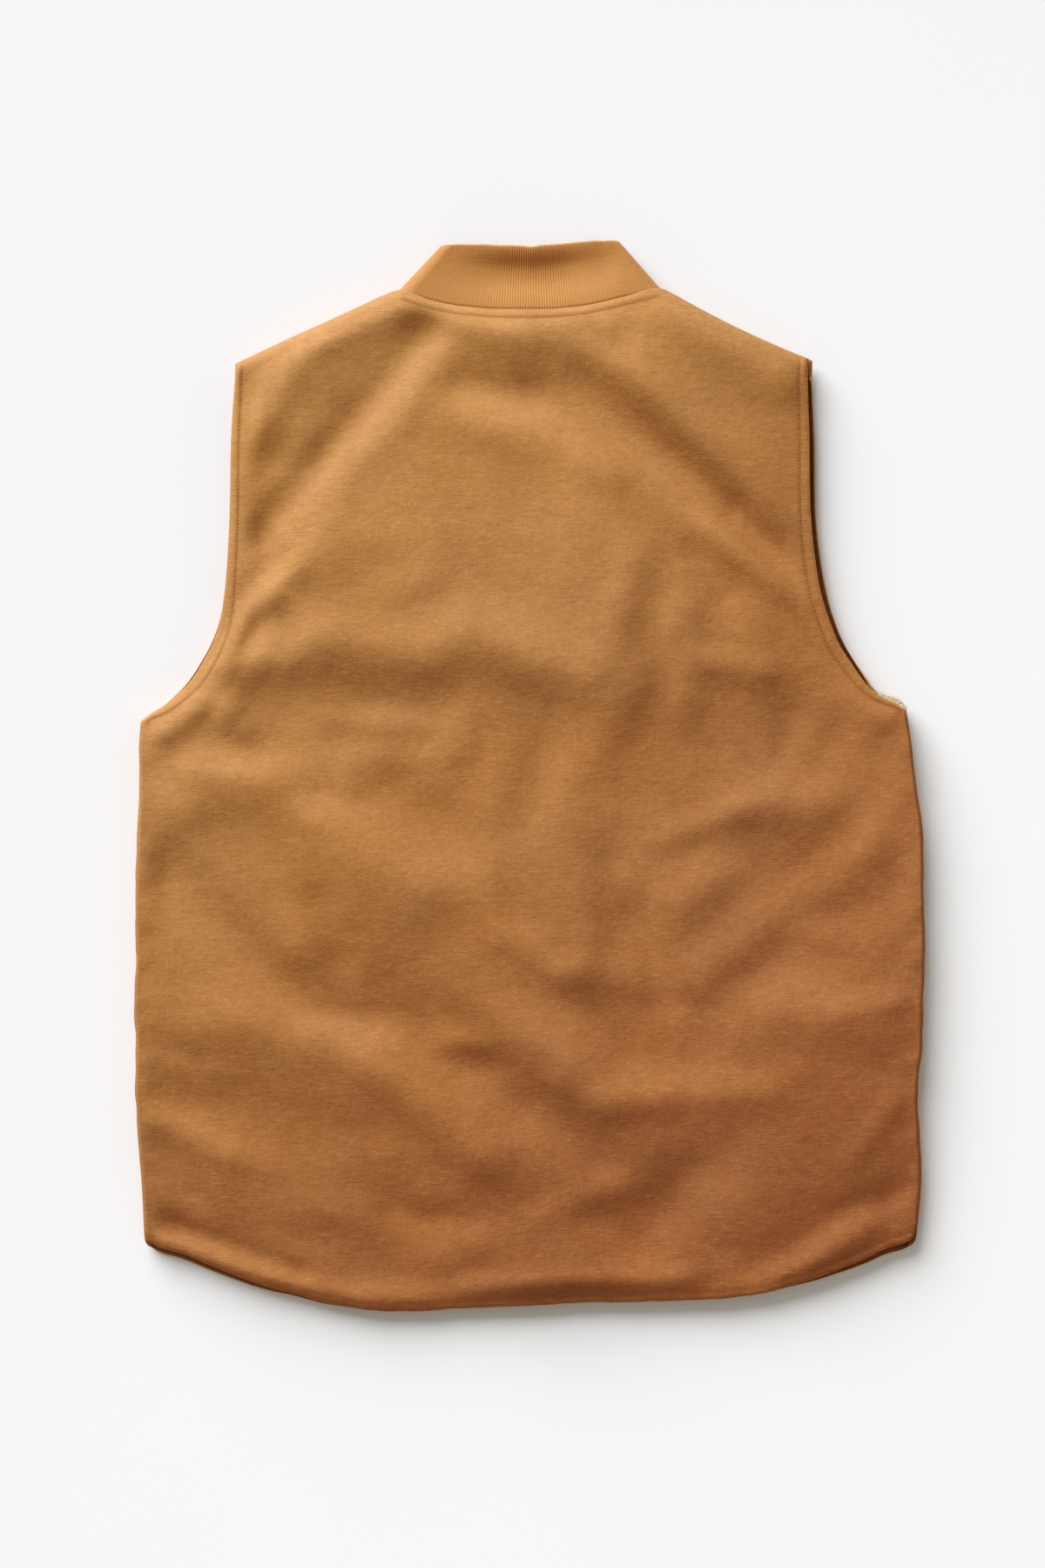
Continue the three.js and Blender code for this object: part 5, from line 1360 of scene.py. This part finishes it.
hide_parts("back_panel")
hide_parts("front_panel_left")
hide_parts("front_panel_right")
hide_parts("collar")
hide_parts("underarm_lining")
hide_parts("front_zip")

# ----------------------------------------------------------- floor, light, camera
bpy.ops.mesh.primitive_plane_add(size=8, location=(0, 0, -0.0001))
floor = bpy.context.object
floor.name = "floor"
fm = Nodes("pale_floor")
speck = fm.noise(fm.at((6, 6, 6)), detail=2)
fm.link(fm.tint(fm.mix(fm.across(2.0, (-0.5, 0.86)), (0.99, 0.99, 0.99, 1), (0.66, 0.66, 0.66, 1)), 0.5, 1.0, fm.math("MULTIPLY_ADD", speck, 0.01, 0.995)), fm.bsdf.inputs["Base Color"])
fm.bsdf.inputs["Roughness"].default_value = 0.95
fm.bsdf.inputs["Specular IOR Level"].default_value = 0.0
floor.data.materials.append(fm.mat)

WORLD = 0.37
KEY_WATTS = 619.0
world = bpy.data.worlds.new("studio")
bpy.context.scene.world = world
world.use_nodes = True
world.node_tree.nodes["Background"].inputs[0].default_value = (1.06, 1.01, 0.90, 1)
world.node_tree.nodes["Background"].inputs[1].default_value = WORLD


def area(name, direction, distance, across, watts, colour=(1, 1, 1)):
    """A soft round light in a direction from the vest."""
    data = bpy.data.lights.new(name, "AREA")
    data.shape = "DISK"
    data.size = across
    data.energy = watts
    data.color = colour
    ob = bpy.data.objects.new(name, data)
    bpy.context.scene.collection.objects.link(ob)
    ob.location = Vector(direction) * distance
    ob.rotation_euler = Vector(direction).to_track_quat("Z", "Y").to_euler()
    return ob


def light_from(plan_x, plan_y, elevation):
    e = math.radians(elevation)
    n = math.hypot(plan_x, plan_y)
    return (plan_x / n * math.cos(e), plan_y / n * math.cos(e), math.sin(e))


key = area("key", light_from(-0.5, 0.86, 28), 5.6, 5.3, KEY_WATTS, (0.969, 0.995, 1.05))

scene = bpy.context.scene
scene.view_settings.view_transform = "Standard"
scene.view_settings.look = "None"
scene.view_settings.exposure = 0.0
scene.view_settings.gamma = 1.0
# the photograph's response: darker tones are pulled down, light ones are kept
TONE = [(0.03, 0.014), (0.082, 0.054), (0.175, 0.156), (0.38, 0.38), (0.65, 0.65), (0.93, 0.93)]
scene.view_settings.use_curve_mapping = True
mapping = scene.view_settings.curve_mapping
for tone_in, tone_out in TONE:
    mapping.curves[3].points.new(tone_in, tone_out)
mapping.update()

cam = bpy.data.cameras.new("camera")
cam.sensor_fit = "VERTICAL"
cam.sensor_height = 36
cam.sensor_width = 24
cam.lens = 70
cam.clip_end = 20
cam_ob = bpy.data.objects.new("camera", cam)
scene.collection.objects.link(cam_ob)
cam_ob.location = (-0.005, -0.0056 + 0.0003, 1.125 * 70 / 36 + 0.014)
cam_ob.rotation_euler = (0, 0, 0)
scene.camera = cam_ob

bpy.context.view_layer.update()
